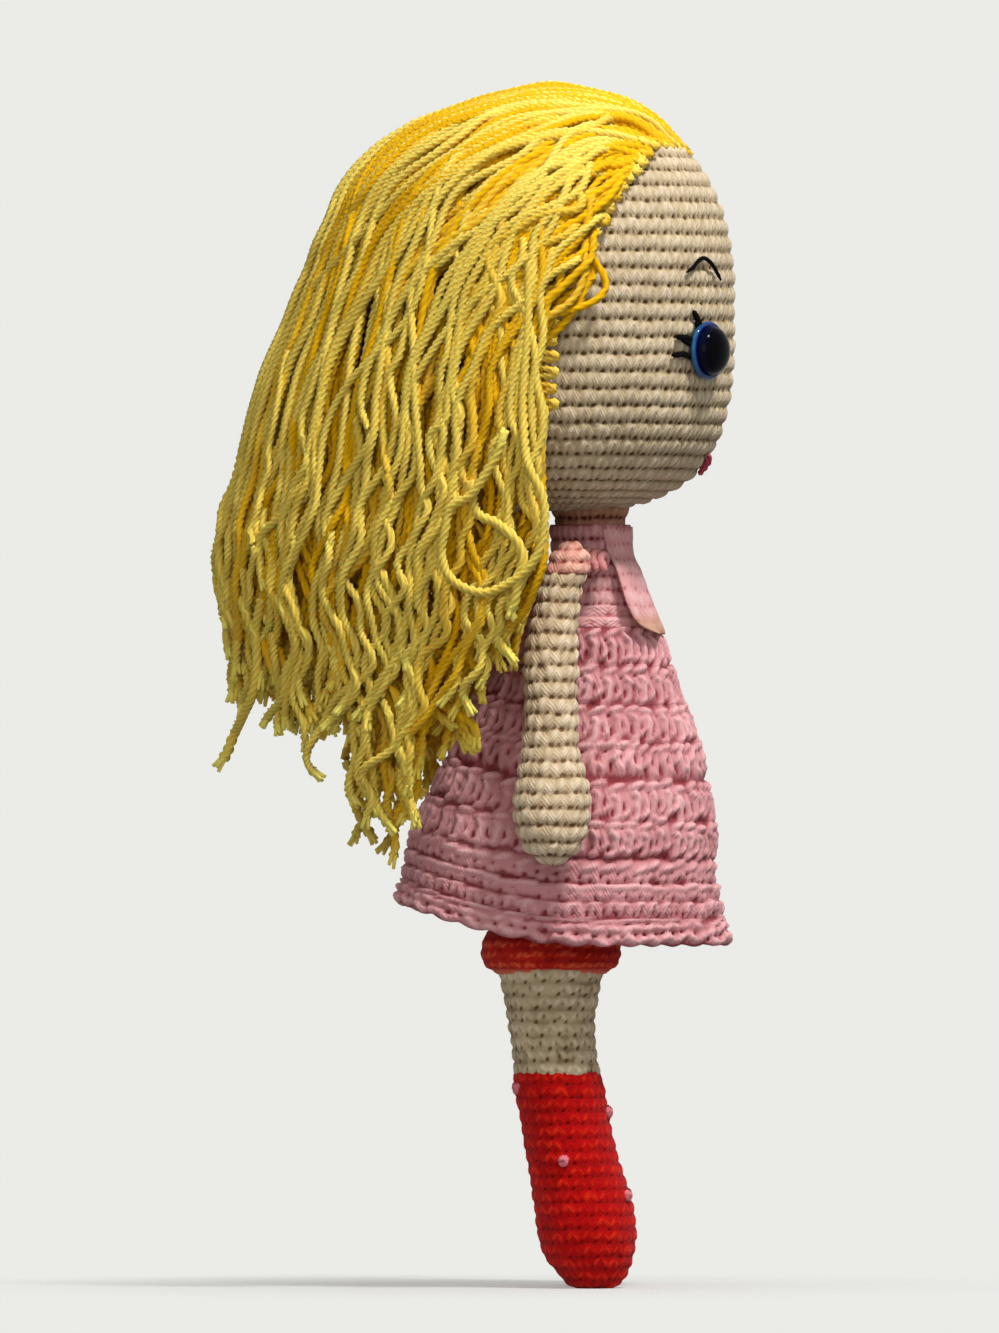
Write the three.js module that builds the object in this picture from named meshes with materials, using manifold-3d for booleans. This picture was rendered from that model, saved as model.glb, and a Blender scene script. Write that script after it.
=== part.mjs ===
// A crocheted doll with yarn hair, a dress and boots. Millimetres, +Z up, facing -Y, right side at -X.
// Heights are measured from the soles. The whole doll is then lowered so that the origin is at its waist.
import * as THREE from 'three';
import { mergeVertices } from 'three/addons/utils/BufferGeometryUtils.js';
import Module from 'manifold-3d';

const wasm = await Module();
wasm.setup();

// Overall heights above the soles. The head and arms follow the top of the body, the legs its bottom.
const hold_height = 150;
const body_top_height = 184.5;
const body_bottom_height = 109;
const bodice_height = 18.5;
const skirt_top_height = body_top_height - bodice_height;
const neck_root_rise = 2.5;
const neck_root_height = body_top_height + neck_root_rise;
const head_rise = 66.5;
const head_centre_height = body_top_height + head_rise;
const hip_below_body = 5;
const hip_height = body_bottom_height - hip_below_body;
const cuff_drop = 24;
const cuff_bottom_height = hip_height - cuff_drop;
const boot_top_height = 55;

// Clearance between touching pieces, and the overrun of cuts
const seat_gap = 0.3;
const cut_overrun = 5;

// Head: a ball of crochet, set back from the neck axis
const head_radius = 47.5;
const head_half_height = 52.7;
const head_set_back = 10;
const head_wall = 2.6;
const neck_hole_radius = 5;
const head_top_power = 2.5;
const head_bottom_power = 3.2;
const head_sides = 28;
const head_rows = 12;

// Neck: a short stuffed tube with a rounded root
const neck_radius = 7.8;
const neck_wall = 2;
const neck_sides = 14;

// Safety eyes, at an angle to each side of the face
const eye_height_on_head = -11.5;
const eye_angle = THREE.MathUtils.degToRad(34);
const iris_radius = 7.5;
const iris_thickness = 1.4;
const pupil_radius = 6;
const pupil_dome = 3.2;
const pupil_rim = 0.8;
const post_radius = 2.4;
const post_length = 11;
const washer_radius = 6;
const washer_thickness = 1.6;
const washer_seat = 5.2;
const eye_sides = 16;

// Stitched face: radius of the thread, and its distance from the wool below
const thread_radius = 0.5;
const lip_radius = 1.1;
const stitch_sides = 4;
const stitch_steps = 3;
const ball_sides = 10;
const ball_rows = 6;
const lash_reach = 4.2;
const brow_half_length = 6;
const brow_rise = 3.4;
const brow_height_on_head = 10.5;
const mouth_half_width = 8;
const mouth_drop = 2.2;
const mouth_height_on_head = -38.5;

// Wig cap and hair
const cap_wall = 1.6;
const hair_top_bulk = 3.1;
const hair_back_bulk = 40.7;
const hair_side_bulk = 12.5;
const hair_front_bulk = 2.8;
const hair_drop = 135;
const lock_depth = 22;
const lock_bulge = 2.6;
const lock_gap = 0.9;
const lock_ease = 0.5;
const crown_foot_on_head = -4;
const crown_sides = 28;
const lock_count = 12;
const nape_height_on_head = -38;

// Body and dress
const body_half_width = 23;
const body_front_depth = 12;
const body_back_depth = 27;
const cloth_wall = 2.6;
const skirt_hem_height = 88;
const skirt_back_lift = 11;
const skirt_front_flare = 25;
const skirt_back_flare = 20.2;
const skirt_side_flare = 16.7;
const collar_rise = 7.5;
const collar_top_height = body_top_height + collar_rise;
const collar_wall = 1.7;
const lapel_wall = 1.5;
const body_sides = 20;
const skirt_sides = 32;
const skirt_rows = 6;

// Arms
const shoulder_below_top = 0.5;
const shoulder_height = body_top_height - shoulder_below_top;
const shoulder_set_back = 4.8;
const shoulder_ball_radius = 3;
const sleeve_radius = 5.6;
const arm_length = 82;
const arm_top_rise = 6.5;
const arm_spread = 17.5;
const arm_radius = 10.1;
const arm_set_back = 5.3;
const arm_wall = 2.2;
const sleeve_length = 7.8;
const arm_sides = 12;
const arm_flatness_share = 0.84;

// Legs
const hip_half_spacing = 15;
const hip_set_back = 10;
const hip_ball_radius = 15;
const hip_ball_half_width = 12;
const cuff_radius = 18.2;
const cuff_half_width = 14.3;
const leg_wall = 2.4;
const leg_radius = 12.9;
const leg_lean = 11;
const leg_sides = 16;
const hip_sides = 16;
const dot_radius = 1.9;
const dot_rise = 0.9;

const full_turn = 2 * Math.PI;

// Materials
const wool = (color) => new THREE.MeshStandardMaterial({ color, roughness: 0.95, metalness: 0 });
const skin_wool = wool(0xd9cba8);
const hair_wool = wool(0xf0cf50);
const cap_wool = wool(0xd9b23a);
const pink_wool = wool(0xe79aa2);
const cuff_wool = wool(0xa02a18);
const boot_wool = wool(0xd8300f);
const dot_wool = wool(0xe8808c);
const stuffing_wool = wool(0xf2f0ea);
const black_thread = wool(0x15120f);
const rose_thread = wool(0xc24a60);
const eye_black = new THREE.MeshStandardMaterial({ color: 0x05050a, roughness: 0.05, metalness: 0 });
const eye_blue = new THREE.MeshStandardMaterial({ color: 0x14508f, roughness: 0.1, metalness: 0 });
const washer_plastic = new THREE.MeshStandardMaterial({ color: 0xe8e8e4, roughness: 0.5, metalness: 0 });

// Geometry from rings of points with equal counts, counted anticlockwise seen from above.
// With `closed`, the last ring joins the first one, as a tube with a wall does. Otherwise both ends are capped.
function loft(rings, closed = false) {
  const around = rings[0].length;
  const position = rings.flat().flatMap((point) => [point.x, point.y, point.z]);
  const index = [];
  const pairs = closed ? rings.length : rings.length - 1;
  for (let k = 0; k < pairs; k += 1) {
    const low = k * around;
    const high = ((k + 1) % rings.length) * around;
    for (let i = 0; i < around; i += 1) {
      const j = (i + 1) % around;
      index.push(low + i, low + j, high + j);
      index.push(low + i, high + j, high + i);
    }
  }
  if (!closed) {
    const ends = [rings[0], rings[rings.length - 1]];
    ends.forEach((ring, end) => {
      const middle = ring.reduce((sum, point) => sum.add(point), new THREE.Vector3()).divideScalar(around);
      const centre = position.length / 3;
      const start = end * (rings.length - 1) * around;
      position.push(middle.x, middle.y, middle.z);
      for (let i = 0; i < around; i += 1) {
        const j = (i + 1) % around;
        index.push(centre, start + (end ? i : j), start + (end ? j : i));
      }
    });
  }
  const geometry = new THREE.BufferGeometry();
  geometry.setAttribute('position', new THREE.Float32BufferAttribute(position, 3));
  geometry.setIndex(index);
  return geometry;
}

// A level ring whose front, back and side reaches differ
function ring(reach, height, count, centre_x = 0, centre_y = 0) {
  return Array.from({ length: count }, (_, i) => {
    const angle = (i / count) * full_turn;
    const depth = Math.sin(angle) < 0 ? reach.front : reach.back;
    const x = centre_x + reach.side * Math.cos(angle);
    return new THREE.Vector3(x, centre_y + depth * Math.sin(angle), height);
  });
}

const round = (radius) => ({ front: radius, back: radius, side: radius });

const grown = (reach, by) => ({ front: reach.front + by, back: reach.back + by, side: reach.side + by });

// Reads a table of shares whose first column rises, and fills in between its rows
function between(shares, at) {
  const last = shares.length - 1;
  if (at <= shares[0][0]) return shares[0].slice(1);
  if (at >= shares[last][0]) return shares[last].slice(1);
  const k = shares.findIndex((row) => row[0] > at);
  const t = (at - shares[k - 1][0]) / (shares[k][0] - shares[k - 1][0]);
  return shares[k].slice(1).map((value, i) => THREE.MathUtils.lerp(shares[k - 1][i + 1], value, t));
}

const steps = (count) => Array.from({ length: count + 1 }, (_, i) => i / count);

function solidOf(geometry) {
  const bare = geometry.clone();
  bare.deleteAttribute('normal');
  bare.deleteAttribute('uv');
  const merged = mergeVertices(bare);
  const vertProperties = new Float32Array(merged.attributes.position.array);
  const triVerts = new Uint32Array(merged.index.array);
  return new wasm.Manifold(new wasm.Mesh({ numProp: 3, vertProperties, triVerts }));
}

function geometryOf(solid) {
  const mesh = solid.getMesh();
  const geometry = new THREE.BufferGeometry();
  geometry.setAttribute('position', new THREE.Float32BufferAttribute(mesh.vertProperties, 3));
  geometry.setIndex(new THREE.Uint32BufferAttribute(mesh.triVerts, 1));
  return geometry;
}

function piece(name, geometry, material) {
  const mesh = new THREE.Mesh(geometry, material);
  mesh.name = name;
  return mesh;
}

// A round bar or plate standing on a height, along Z
function upright(radius, low, high, count) {
  const geometry = new THREE.CylinderGeometry(radius, radius, high - low, count);
  geometry.rotateX(Math.PI / 2);
  geometry.translate(0, 0, (low + high) / 2);
  return geometry;
}

// A round thread along points, closed at both ends
function thread(points, radius) {
  const path = new THREE.CatmullRomCurve3(points);
  const section = new THREE.Shape();
  section.absarc(0, 0, radius, 0, full_turn);
  return new THREE.ExtrudeGeometry(section, {
    steps: stitch_steps, extrudePath: path, curveSegments: stitch_sides / 2, bevelEnabled: false,
  });
}

// Radius of the head at a height above its centre, for a skin that lies `outside` the wool
function headRadiusAt(height, outside = 0) {
  const half = head_half_height + outside;
  const power = height > 0 ? head_top_power : head_bottom_power;
  const level = Math.min(Math.abs(height) / half, 1);
  return (head_radius + outside) * (1 - level ** power) ** (1 / power);
}

// The head's form, or a skin outside or inside it
function headBall(outside, rows = head_rows, count = head_sides) {
  const half = head_half_height + outside;
  const profile = steps(rows).map((t) => {
    const height = -half * Math.cos(t * Math.PI);
    return new THREE.Vector2(headRadiusAt(height, outside), height);
  });
  profile[0].x = 0;
  profile[rows].x = 0;
  const geometry = new THREE.LatheGeometry(profile, count);
  geometry.rotateX(Math.PI / 2);
  return geometry;
}

// A point on the head at an angle from the front and a height, at a distance from the wool
function onHead(angle, height, outside) {
  const radius = headRadiusAt(height, outside);
  return new THREE.Vector3(-radius * Math.sin(angle), -radius * Math.cos(angle), height);
}

const head = new THREE.Group();
head.position.set(0, head_set_back, head_centre_height);

const sides = [
  { side: 'right', sign: -1 },
  { side: 'left', sign: 1 },
];

// Eyes: each has a blue disc, a black dome on a post, and a washer that locks the post inside the head
const eye_plane = headRadiusAt(0, seat_gap);
const iris_front = eye_plane + iris_thickness;
const washer_face = eye_plane - washer_seat;

function alongEye(geometry, sign) {
  geometry.rotateZ(Math.PI);
  geometry.translate(0, 0, eye_height_on_head);
  geometry.rotateZ(sign * eye_angle);
  return geometry;
}

function eyeTurned(inner, outer, low, high) {
  const profile = [[inner, low], [outer, low], [outer, high], [inner, high]];
  if (inner > 0) profile.push([inner, low]);
  return new THREE.LatheGeometry(profile.map(([x, y]) => new THREE.Vector2(x, y)), eye_sides);
}

function pupilGeometry() {
  const base = iris_front + seat_gap;
  const dome = steps(4).map((t) => {
    const angle = t * Math.PI / 2;
    return new THREE.Vector2(pupil_radius * Math.cos(angle), base + pupil_rim + pupil_dome * Math.sin(angle));
  });
  dome[dome.length - 1].x = 0;
  const profile = [
    new THREE.Vector2(0, eye_plane - post_length),
    new THREE.Vector2(post_radius, eye_plane - post_length),
    new THREE.Vector2(post_radius, base),
    new THREE.Vector2(pupil_radius, base),
    ...dome,
  ];
  return new THREE.LatheGeometry(profile, eye_sides);
}

function eyeSpace(sign) {
  const low = eye_plane - post_length - seat_gap;
  const post = solidOf(alongEye(eyeTurned(0, post_radius + seat_gap, low, eye_plane + cut_overrun), sign));
  const washer_low = washer_face - washer_thickness - seat_gap;
  const washer = solidOf(alongEye(eyeTurned(0, washer_radius + seat_gap, washer_low, washer_face + seat_gap), sign));
  return post.add(washer);
}

// Head shell, stuffing and cap
const neck_hole_low = -head_half_height - cut_overrun;
const neck_hole = solidOf(upright(neck_hole_radius, neck_hole_low, -head_half_height / 2, neck_sides))
  .translate([0, -head_set_back, 0]);
const eye_spaces = sides.map(({ sign }) => eyeSpace(sign));

function headShell() {
  let shell = solidOf(headBall(0)).subtract(solidOf(headBall(-head_wall))).subtract(neck_hole);
  eye_spaces.forEach((space) => {
    shell = shell.subtract(space);
  });
  return geometryOf(shell);
}

function headStuffing() {
  let filling = solidOf(headBall(-head_wall - seat_gap, head_rows / 2, head_sides / 2));
  eye_spaces.forEach((space) => {
    filling = filling.subtract(space);
  });
  return geometryOf(filling);
}

// Outline of the bare face seen from the side: forward of the neck axis, and height on the head.
// The first pair of shares follows the head's radius, the second its half height.
const hairline_shares = [
  [-0.01, -1.3], [-0.01, -0.095], [0.022, -0.063], [0.075, 0.034], [0.155, 0.228],
  [0.265, 0.399], [0.345, 0.545], [0.535, 0.765], [0.79, 0.775], [1.5, 0.775], [1.5, -1.3],
];

function faceWindow() {
  const outline = new THREE.Shape(hairline_shares.map(([forward, up]) => {
    return new THREE.Vector2(forward * head_radius, up * head_half_height);
  }));
  const half_width = head_radius + hair_side_bulk + cut_overrun;
  const geometry = new THREE.ExtrudeGeometry(outline, { depth: 2 * half_width, bevelEnabled: false });
  geometry.translate(0, 0, -half_width);
  geometry.applyMatrix4(new THREE.Matrix4().makeBasis(
    new THREE.Vector3(0, -1, 0), new THREE.Vector3(0, 0, 1), new THREE.Vector3(-1, 0, 0),
  ));
  return solidOf(geometry);
}

const cap_inside = seat_gap;
const cap_outside = cap_inside + cap_wall;
const crown_inside = cap_outside + seat_gap;
const face_window = faceWindow();

function wigCap() {
  const below_nape = upright(
    head_radius + cap_outside + cut_overrun, -head_half_height - cut_overrun, nape_height_on_head, head_sides,
  );
  const shell = solidOf(headBall(cap_outside)).subtract(solidOf(headBall(cap_inside)));
  return geometryOf(shell.subtract(face_window).subtract(solidOf(below_nape)));
}

// Hair above the foot of the crown: height, then the back, side and front reaches
const crown_shares = [
  [0, 0.777, 0.95, 1], [0.12, 0.747, 0.942, 0.996], [0.23, 0.71, 0.925, 0.99], [0.33, 0.69, 0.9, 0.977],
  [0.43, 0.651, 0.875, 0.952], [0.53, 0.63, 0.835, 0.905], [0.63, 0.584, 0.775, 0.848],
  [0.735, 0.51, 0.685, 0.76], [0.84, 0.39, 0.57, 0.625], [0.94, 0.21, 0.33, 0.385], [1, 0.03, 0.05, 0.05],
];
const hair_back_reach = head_radius + hair_back_bulk;
const hair_side_reach = head_radius + hair_side_bulk;
const hair_front_reach = head_radius + crown_inside + hair_front_bulk;
const crown_height = head_half_height + crown_inside + hair_top_bulk - crown_foot_on_head;

function hairCrown() {
  const rings = crown_shares.map(([up, back_share, side_share, front_share]) => {
    const reach = {
      back: back_share * hair_back_reach,
      side: side_share * hair_side_reach,
      front: front_share * hair_front_reach,
    };
    return ring(reach, crown_foot_on_head + up * crown_height, crown_sides);
  });
  return geometryOf(solidOf(loft(rings)).subtract(solidOf(headBall(crown_inside))).subtract(face_window));
}

// Hair below the crown: drop, then the back and side reaches, and how far its front edge sweeps back
const lock_shares = [
  [0, 0.777, 0.95, 1], [0.09, 0.84, 0.975, 1], [0.19, 0.885, 0.99, 1], [0.3, 0.925, 1, 1], [0.4, 0.985, 1, 1],
  [0.5, 0.985, 0.99, 0.96], [0.6, 0.945, 0.975, 0.93], [0.72, 0.935, 0.955, 0.9], [0.84, 0.915, 0.93, 0.86],
  [1, 0.86, 0.88, 0.83],
];
// Length of each lock from the front edge to the middle of the back, on either side
const lock_length_shares = [0.83, 1, 0.9, 0.8, 0.77, 0.72];
// Rows that all locks share, then each lock's tail: how far from its end, and its width there
const lock_row_shares = [0, 0.1, 0.22, 0.36, 0.52, 0.66];
const lock_tail_shares = [[0.07, 0.8], [0.02, 0.5], [0, 0.2]];
const lock_points = 4;

// The hair's own vertical axis is the head's; a lock hangs between two angles from the middle of the back
function hairLock(first, last, length_share) {
  const tail = lock_tail_shares.map(([from_end, taper]) => [length_share - from_end, taper]);
  const rows = [...lock_row_shares.filter((drop) => drop < tail[0][0]).map((drop) => [drop, 1]), ...tail];
  const rings = rows.map(([drop, taper]) => {
    const [back_share, side_share, sweep_share] = between(lock_shares, drop);
    const height = crown_foot_on_head - seat_gap - drop * hair_drop;
    const cap_reach = headRadiusAt(Math.max(height, -head_half_height), crown_inside + lock_ease);
    const slit = lock_gap / hair_side_reach / 2;
    const at = (angle, inward) => {
      const side = side_share * hair_side_reach * Math.sin(angle);
      const back = back_share * hair_back_reach * Math.cos(angle);
      const reach = Math.hypot(side, back);
      const kept = Math.max(reach - inward, cap_reach) / reach;
      return new THREE.Vector3(side * kept, back * kept, height);
    };
    const middle = sweep_share * (first + last) / 2;
    const half = (sweep_share * (last - first) / 2 - slit) * taper;
    const inset = lock_depth * (1 - taper) / 2;
    const outer = steps(lock_points - 1).map((t) => {
      const sag = lock_bulge * (2 * t - 1) ** 2;
      return at(middle + half * (1 - 2 * t), inset + sag);
    });
    const inner = steps(lock_points - 1).map((t) => at(middle + half * (2 * t - 1), lock_depth - inset));
    return [...outer, ...inner];
  });
  return loft(rings.reverse());
}

// Stitched face: a closed tuft of lashes, a brow and a smile
function lashes(sign) {
  const root_angle = eye_angle + Math.asin((iris_radius + 2 * thread_radius + seat_gap) / head_radius);
  const above = seat_gap + thread_radius;
  const root_height = eye_height_on_head + iris_radius / 5;
  const turn = lash_reach / head_radius;
  const tip_shares = [[0.15, 1.6], [1, 0.7], [1, -0.45]];
  let tuft = null;
  tip_shares.forEach(([turn_share, rise_share]) => {
    const points = steps(2).map((t) => {
      return onHead(-sign * (root_angle + t * turn_share * turn), root_height + t * rise_share * lash_reach, above);
    });
    const lash = solidOf(thread(points, thread_radius));
    tuft = tuft ? tuft.add(lash) : lash;
  });
  return geometryOf(tuft);
}

function brow(sign) {
  const arch_shares = [[1, -0.9], [0.35, 0.2], [-0.2, 0], [-1, -1.2]];
  const points = arch_shares.map(([turn_share, rise_share]) => {
    const angle = eye_angle + turn_share * brow_half_length / head_radius;
    const height = brow_height_on_head + rise_share * brow_rise;
    return onHead(-sign * angle, height, seat_gap + thread_radius);
  });
  return thread(points, thread_radius);
}

function mouth() {
  const points = steps(6).map((t) => {
    const across = 2 * t - 1;
    const radius = headRadiusAt(mouth_height_on_head);
    const height = mouth_height_on_head - mouth_drop * (1 - across * across);
    return onHead(across * mouth_half_width / radius, height, lip_radius);
  });
  return thread(points, lip_radius);
}

head.add(piece('head_shell', headShell(), skin_wool));
head.add(piece('head_stuffing', headStuffing(), stuffing_wool));
head.add(piece('wig_cap', wigCap(), cap_wool));
head.add(piece('hair_crown', hairCrown(), hair_wool));
for (let k = 0; k < lock_count; k += 1) {
  const width = Math.PI / lock_count;
  const first = -Math.PI / 2 + k * width;
  const from_front = Math.min(k, lock_count - 1 - k);
  const length_share = lock_length_shares[from_front];
  head.add(piece(`hair_lock_${k + 1}`, hairLock(first, first + width, length_share), hair_wool));
}
sides.forEach(({ side, sign }) => {
  const iris = eyeTurned(post_radius + seat_gap, iris_radius, eye_plane, iris_front);
  const washer = eyeTurned(post_radius + seat_gap, washer_radius, washer_face - washer_thickness, washer_face);
  head.add(piece(`${side}_eye_iris`, alongEye(iris, sign), eye_blue));
  head.add(piece(`${side}_eye_pupil`, alongEye(pupilGeometry(), sign), eye_black));
  head.add(piece(`${side}_eye_washer`, alongEye(washer, sign), washer_plastic));
  head.add(piece(`${side}_lashes`, lashes(sign), black_thread));
  head.add(piece(`${side}_brow`, brow(sign), black_thread));
});
head.add(piece('mouth', mouth(), rose_thread));

// Neck: the rounded root turns in the body, and the head sits on the flat top
const head_bottom_height = head_centre_height - head_half_height;
const neck_top_height = head_bottom_height - seat_gap;

function neckForm(radius, top) {
  const ball = solidOf(new THREE.SphereGeometry(radius, neck_sides, neck_sides / 2));
  return ball.add(solidOf(upright(radius, 0, top - neck_root_height, neck_sides)))
    .translate([0, 0, neck_root_height]);
}

function neckShell() {
  const inside = neckForm(neck_radius - neck_wall, neck_top_height + cut_overrun);
  return geometryOf(neckForm(neck_radius, neck_top_height).subtract(inside));
}

const neck = new THREE.Group();
neck.add(piece('neck_shell', neckShell(), skin_wool));
const neck_core = neckForm(neck_radius - neck_wall - seat_gap, neck_top_height);
neck.add(piece('neck_stuffing', geometryOf(neck_core), stuffing_wool));

// Body: height from its bottom to its top, then the front, back and side reaches
const body_shares = [
  [0, 0.6, 0.85, 0.83], [0.03, 0.72, 0.96, 0.93], [0.15, 0.92, 1, 1], [0.34, 0.96, 0.91, 0.92], [0.54, 1, 0.81, 0.83],
  [0.68, 0.96, 0.72, 0.8], [0.81, 0.875, 0.61, 0.75], [0.9, 0.86, 0.48, 0.7], [0.967, 0.78, 0.36, 0.62],
  [1, 0.735, 0.335, 0.565],
];
const body_height = body_top_height - body_bottom_height;

function bodyReach(height) {
  const [front_share, back_share, side_share] = between(body_shares, (height - body_bottom_height) / body_height);
  return {
    front: front_share * body_front_depth,
    back: back_share * body_back_depth,
    side: side_share * body_half_width,
  };
}

function bodyForm(inside, count = body_sides) {
  const low = body_bottom_height + inside;
  const rows = body_shares.map(([up]) => THREE.MathUtils.lerp(low, body_top_height, up));
  return solidOf(loft(rows.map((height) => ring(grown(bodyReach(height), -inside), height, count))));
}

// The ball of a hip, whose poles lie on the axis that the leg swings about
function hipBall(half_width, radius) {
  const ball = new THREE.SphereGeometry(1, hip_sides, hip_sides / 2);
  ball.rotateZ(Math.PI / 2);
  ball.scale(half_width, radius, radius);
  return solidOf(ball);
}

// The flat faces of its socket lie outside the corners of the ball, so that it can turn
const socket_radius = (hip_ball_radius + seat_gap) / Math.cos(Math.PI / hip_sides);

function cutForJoints(solid) {
  let cut = solid.subtract(neckForm(neck_radius + seat_gap, neck_top_height + cut_overrun));
  sides.forEach(({ sign }) => {
    const socket = hipBall(hip_ball_half_width + seat_gap, socket_radius);
    cut = cut.subtract(socket.translate([sign * hip_half_spacing, hip_set_back, hip_height]));
  });
  return cut;
}

const body = new THREE.Group();
const body_inside = bodyForm(cloth_wall);
body.add(piece('body_shell', geometryOf(cutForJoints(bodyForm(0).subtract(body_inside))), skin_wool));
const body_filling = bodyForm(cloth_wall + seat_gap, body_sides / 2);
body.add(piece('body_stuffing', geometryOf(cutForJoints(body_filling)), stuffing_wool));

// Dress: how far it stands off the body, from the hem up to the neck, at the front, back and side
const flare_shares = [
  [0, 1, 1, 1], [0.12, 0.91, 1, 0.86], [0.2, 0.88, 0.89, 0.74], [0.26, 0.83, 0.78, 0.62], [0.33, 0.74, 0.6, 0.44],
  [0.44, 0.64, 0.47, 0.33], [0.54, 0.54, 0.35, 0.23], [0.64, 0.37, 0.24, 0.1], [0.73, 0.28, 0.17, 0.03],
  [0.81, 0.19, 0.1, 0.01], [0.86, 0.12, 0.05, 0], [0.92, 0.03, 0, 0], [1, 0, 0, 0],
];
const dress_height = body_top_height - skirt_hem_height;

function dressReach(height) {
  const [front_share, back_share, side_share] = between(flare_shares, (height - skirt_hem_height) / dress_height);
  const base = grown(bodyReach(height), seat_gap + cloth_wall);
  return {
    front: base.front + front_share * skirt_front_flare,
    back: base.back + back_share * skirt_back_flare,
    side: base.side + side_share * skirt_side_flare,
  };
}

// The skirt's hem is level at the front and lifts towards the back
function skirt() {
  const wallRing = (up, inside) => {
    return Array.from({ length: skirt_sides }, (_, i) => {
      const angle = (i / skirt_sides) * full_turn;
      const lift = skirt_back_lift * Math.max(0, Math.sin(angle)) ** 2;
      const height = THREE.MathUtils.lerp(skirt_hem_height + lift, skirt_top_height, up);
      const reach = grown(dressReach(height), -inside);
      const depth = Math.sin(angle) < 0 ? reach.front : reach.back;
      return new THREE.Vector3(reach.side * Math.cos(angle), depth * Math.sin(angle), height);
    });
  };
  const outer = steps(skirt_rows).map((up) => wallRing(up, 0));
  const inner = steps(skirt_rows).map((up) => wallRing(up, cloth_wall));
  return loft([...outer, ...inner.reverse()], true);
}

function bodice() {
  const low = skirt_top_height + seat_gap;
  const body_rows = body_shares.map(([up]) => THREE.MathUtils.lerp(body_bottom_height, body_top_height, up));
  const rows = [low, ...body_rows.filter((height) => height > low)];
  const outer = rows.map((height) => ring(dressReach(height), height, body_sides));
  const inner = rows.map((height) => ring(grown(dressReach(height), -cloth_wall), height, body_sides));
  return loft([...outer, ...inner.reverse()], true);
}

// The collar opens upward, so that the neck can tilt inside it
const nod_limit = THREE.MathUtils.degToRad(12);

function collar() {
  const low = body_top_height + seat_gap;
  const opening = (collar_top_height - neck_root_height) * Math.tan(nod_limit);
  const inside_top = neck_radius + 2 * seat_gap + opening;
  const inside_low = neck_radius + 2 * seat_gap;
  const rings = [
    ring(round(inside_low + collar_wall), low, neck_sides),
    ring(round(inside_top + collar_wall), collar_top_height, neck_sides),
    ring(round(inside_top), collar_top_height, neck_sides),
    ring(round(inside_low), low, neck_sides),
  ];
  return loft(rings, true);
}

// Each lapel is a flap from the neck to a point on the chest: height down it, then its near and far edge
const lapel_shares = [[0, 0.12, 1], [0.25, 0.1, 0.9], [0.5, 0.08, 0.7], [0.75, 0.07, 0.47], [1, 0.06, 0.22]];
const lapel_spread = THREE.MathUtils.degToRad(62);
const lapel_drop_share = 0.97;

function lapel(sign) {
  const across_count = 5;
  const top = body_top_height;
  const drop = (body_top_height - skirt_top_height) * lapel_drop_share;
  const rings = lapel_shares.map(([down, near_share, far_share]) => {
    const height = top - down * drop;
    const at = (t, outside) => {
      const angle = lapel_spread * THREE.MathUtils.lerp(near_share, far_share, t);
      const reach = grown(dressReach(height), outside);
      return new THREE.Vector3(sign * reach.side * Math.sin(angle), -reach.front * Math.cos(angle), height);
    };
    const under = steps(across_count - 1).map((t) => at(t, seat_gap));
    const over = steps(across_count - 1).map((t) => at(1 - t, seat_gap + lapel_wall));
    const section = [...under, ...over];
    return sign > 0 ? section.reverse() : section;
  });
  return loft(rings.reverse());
}

body.add(piece('skirt', skirt(), pink_wool));
body.add(piece('bodice', bodice(), pink_wool));
body.add(piece('collar', collar(), pink_wool));
sides.forEach(({ side, sign }) => {
  body.add(piece(`${side}_lapel`, lapel(sign), pink_wool));
});

// Shoulder: the sewn joint is a small ball of stitches between the bodice and the sleeve
const bodice_at_shoulder = dressReach(shoulder_height - shoulder_ball_radius / 2);
const shoulder_level = shoulder_set_back / bodice_at_shoulder.back;
const shoulder_face = bodice_at_shoulder.side * Math.sqrt(1 - shoulder_level ** 2);
const shoulder_x = shoulder_face + seat_gap + shoulder_ball_radius;
const arm_x = shoulder_x + shoulder_ball_radius + seat_gap + sleeve_radius;

// Arm: length down it, then its radius, how far it has leaned back and how far it has spread
const arm_shares = [
  [0, 0.08, 0, 0], [0.025, 0.36, 0.02, 0.02], [0.08, 0.52, 0.08, 0.07], [0.13, 0.54, 0.3, 0.13], [0.22, 0.6, 0.65, 0.22],
  [0.35, 0.71, 1, 0.36], [0.5, 0.69, 0.98, 0.52], [0.65, 0.76, 1, 0.68], [0.75, 0.95, 0.95, 0.79],
  [0.85, 1, 0.95, 0.88], [0.92, 0.9, 0.94, 0.94], [0.975, 0.58, 0.93, 0.98], [1, 0.18, 0.93, 1],
];
const arm_top_height = shoulder_height + arm_top_rise;

function armForm(sign, inside, first, last) {
  const between_ends = arm_shares.map((row) => row[0]).filter((along) => along > first && along < last);
  const rings = [first, ...between_ends, last].map((along) => {
    const [radius_share, back_share, spread_share] = between(arm_shares, along);
    const radius = Math.max(radius_share * arm_radius - inside, seat_gap);
    const centre_x = sign * (arm_x + spread_share * arm_spread);
    const centre_y = shoulder_set_back + back_share * arm_set_back;
    const reach = { front: radius, back: radius, side: radius * arm_flatness_share };
    return ring(reach, arm_top_height - along * arm_length, arm_sides, centre_x, centre_y);
  });
  return solidOf(loft(rings.reverse()));
}

const cuff_line = sleeve_length / arm_length;
const wall_line = arm_wall / arm_length;
const gap_line = seat_gap / arm_length;

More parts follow.
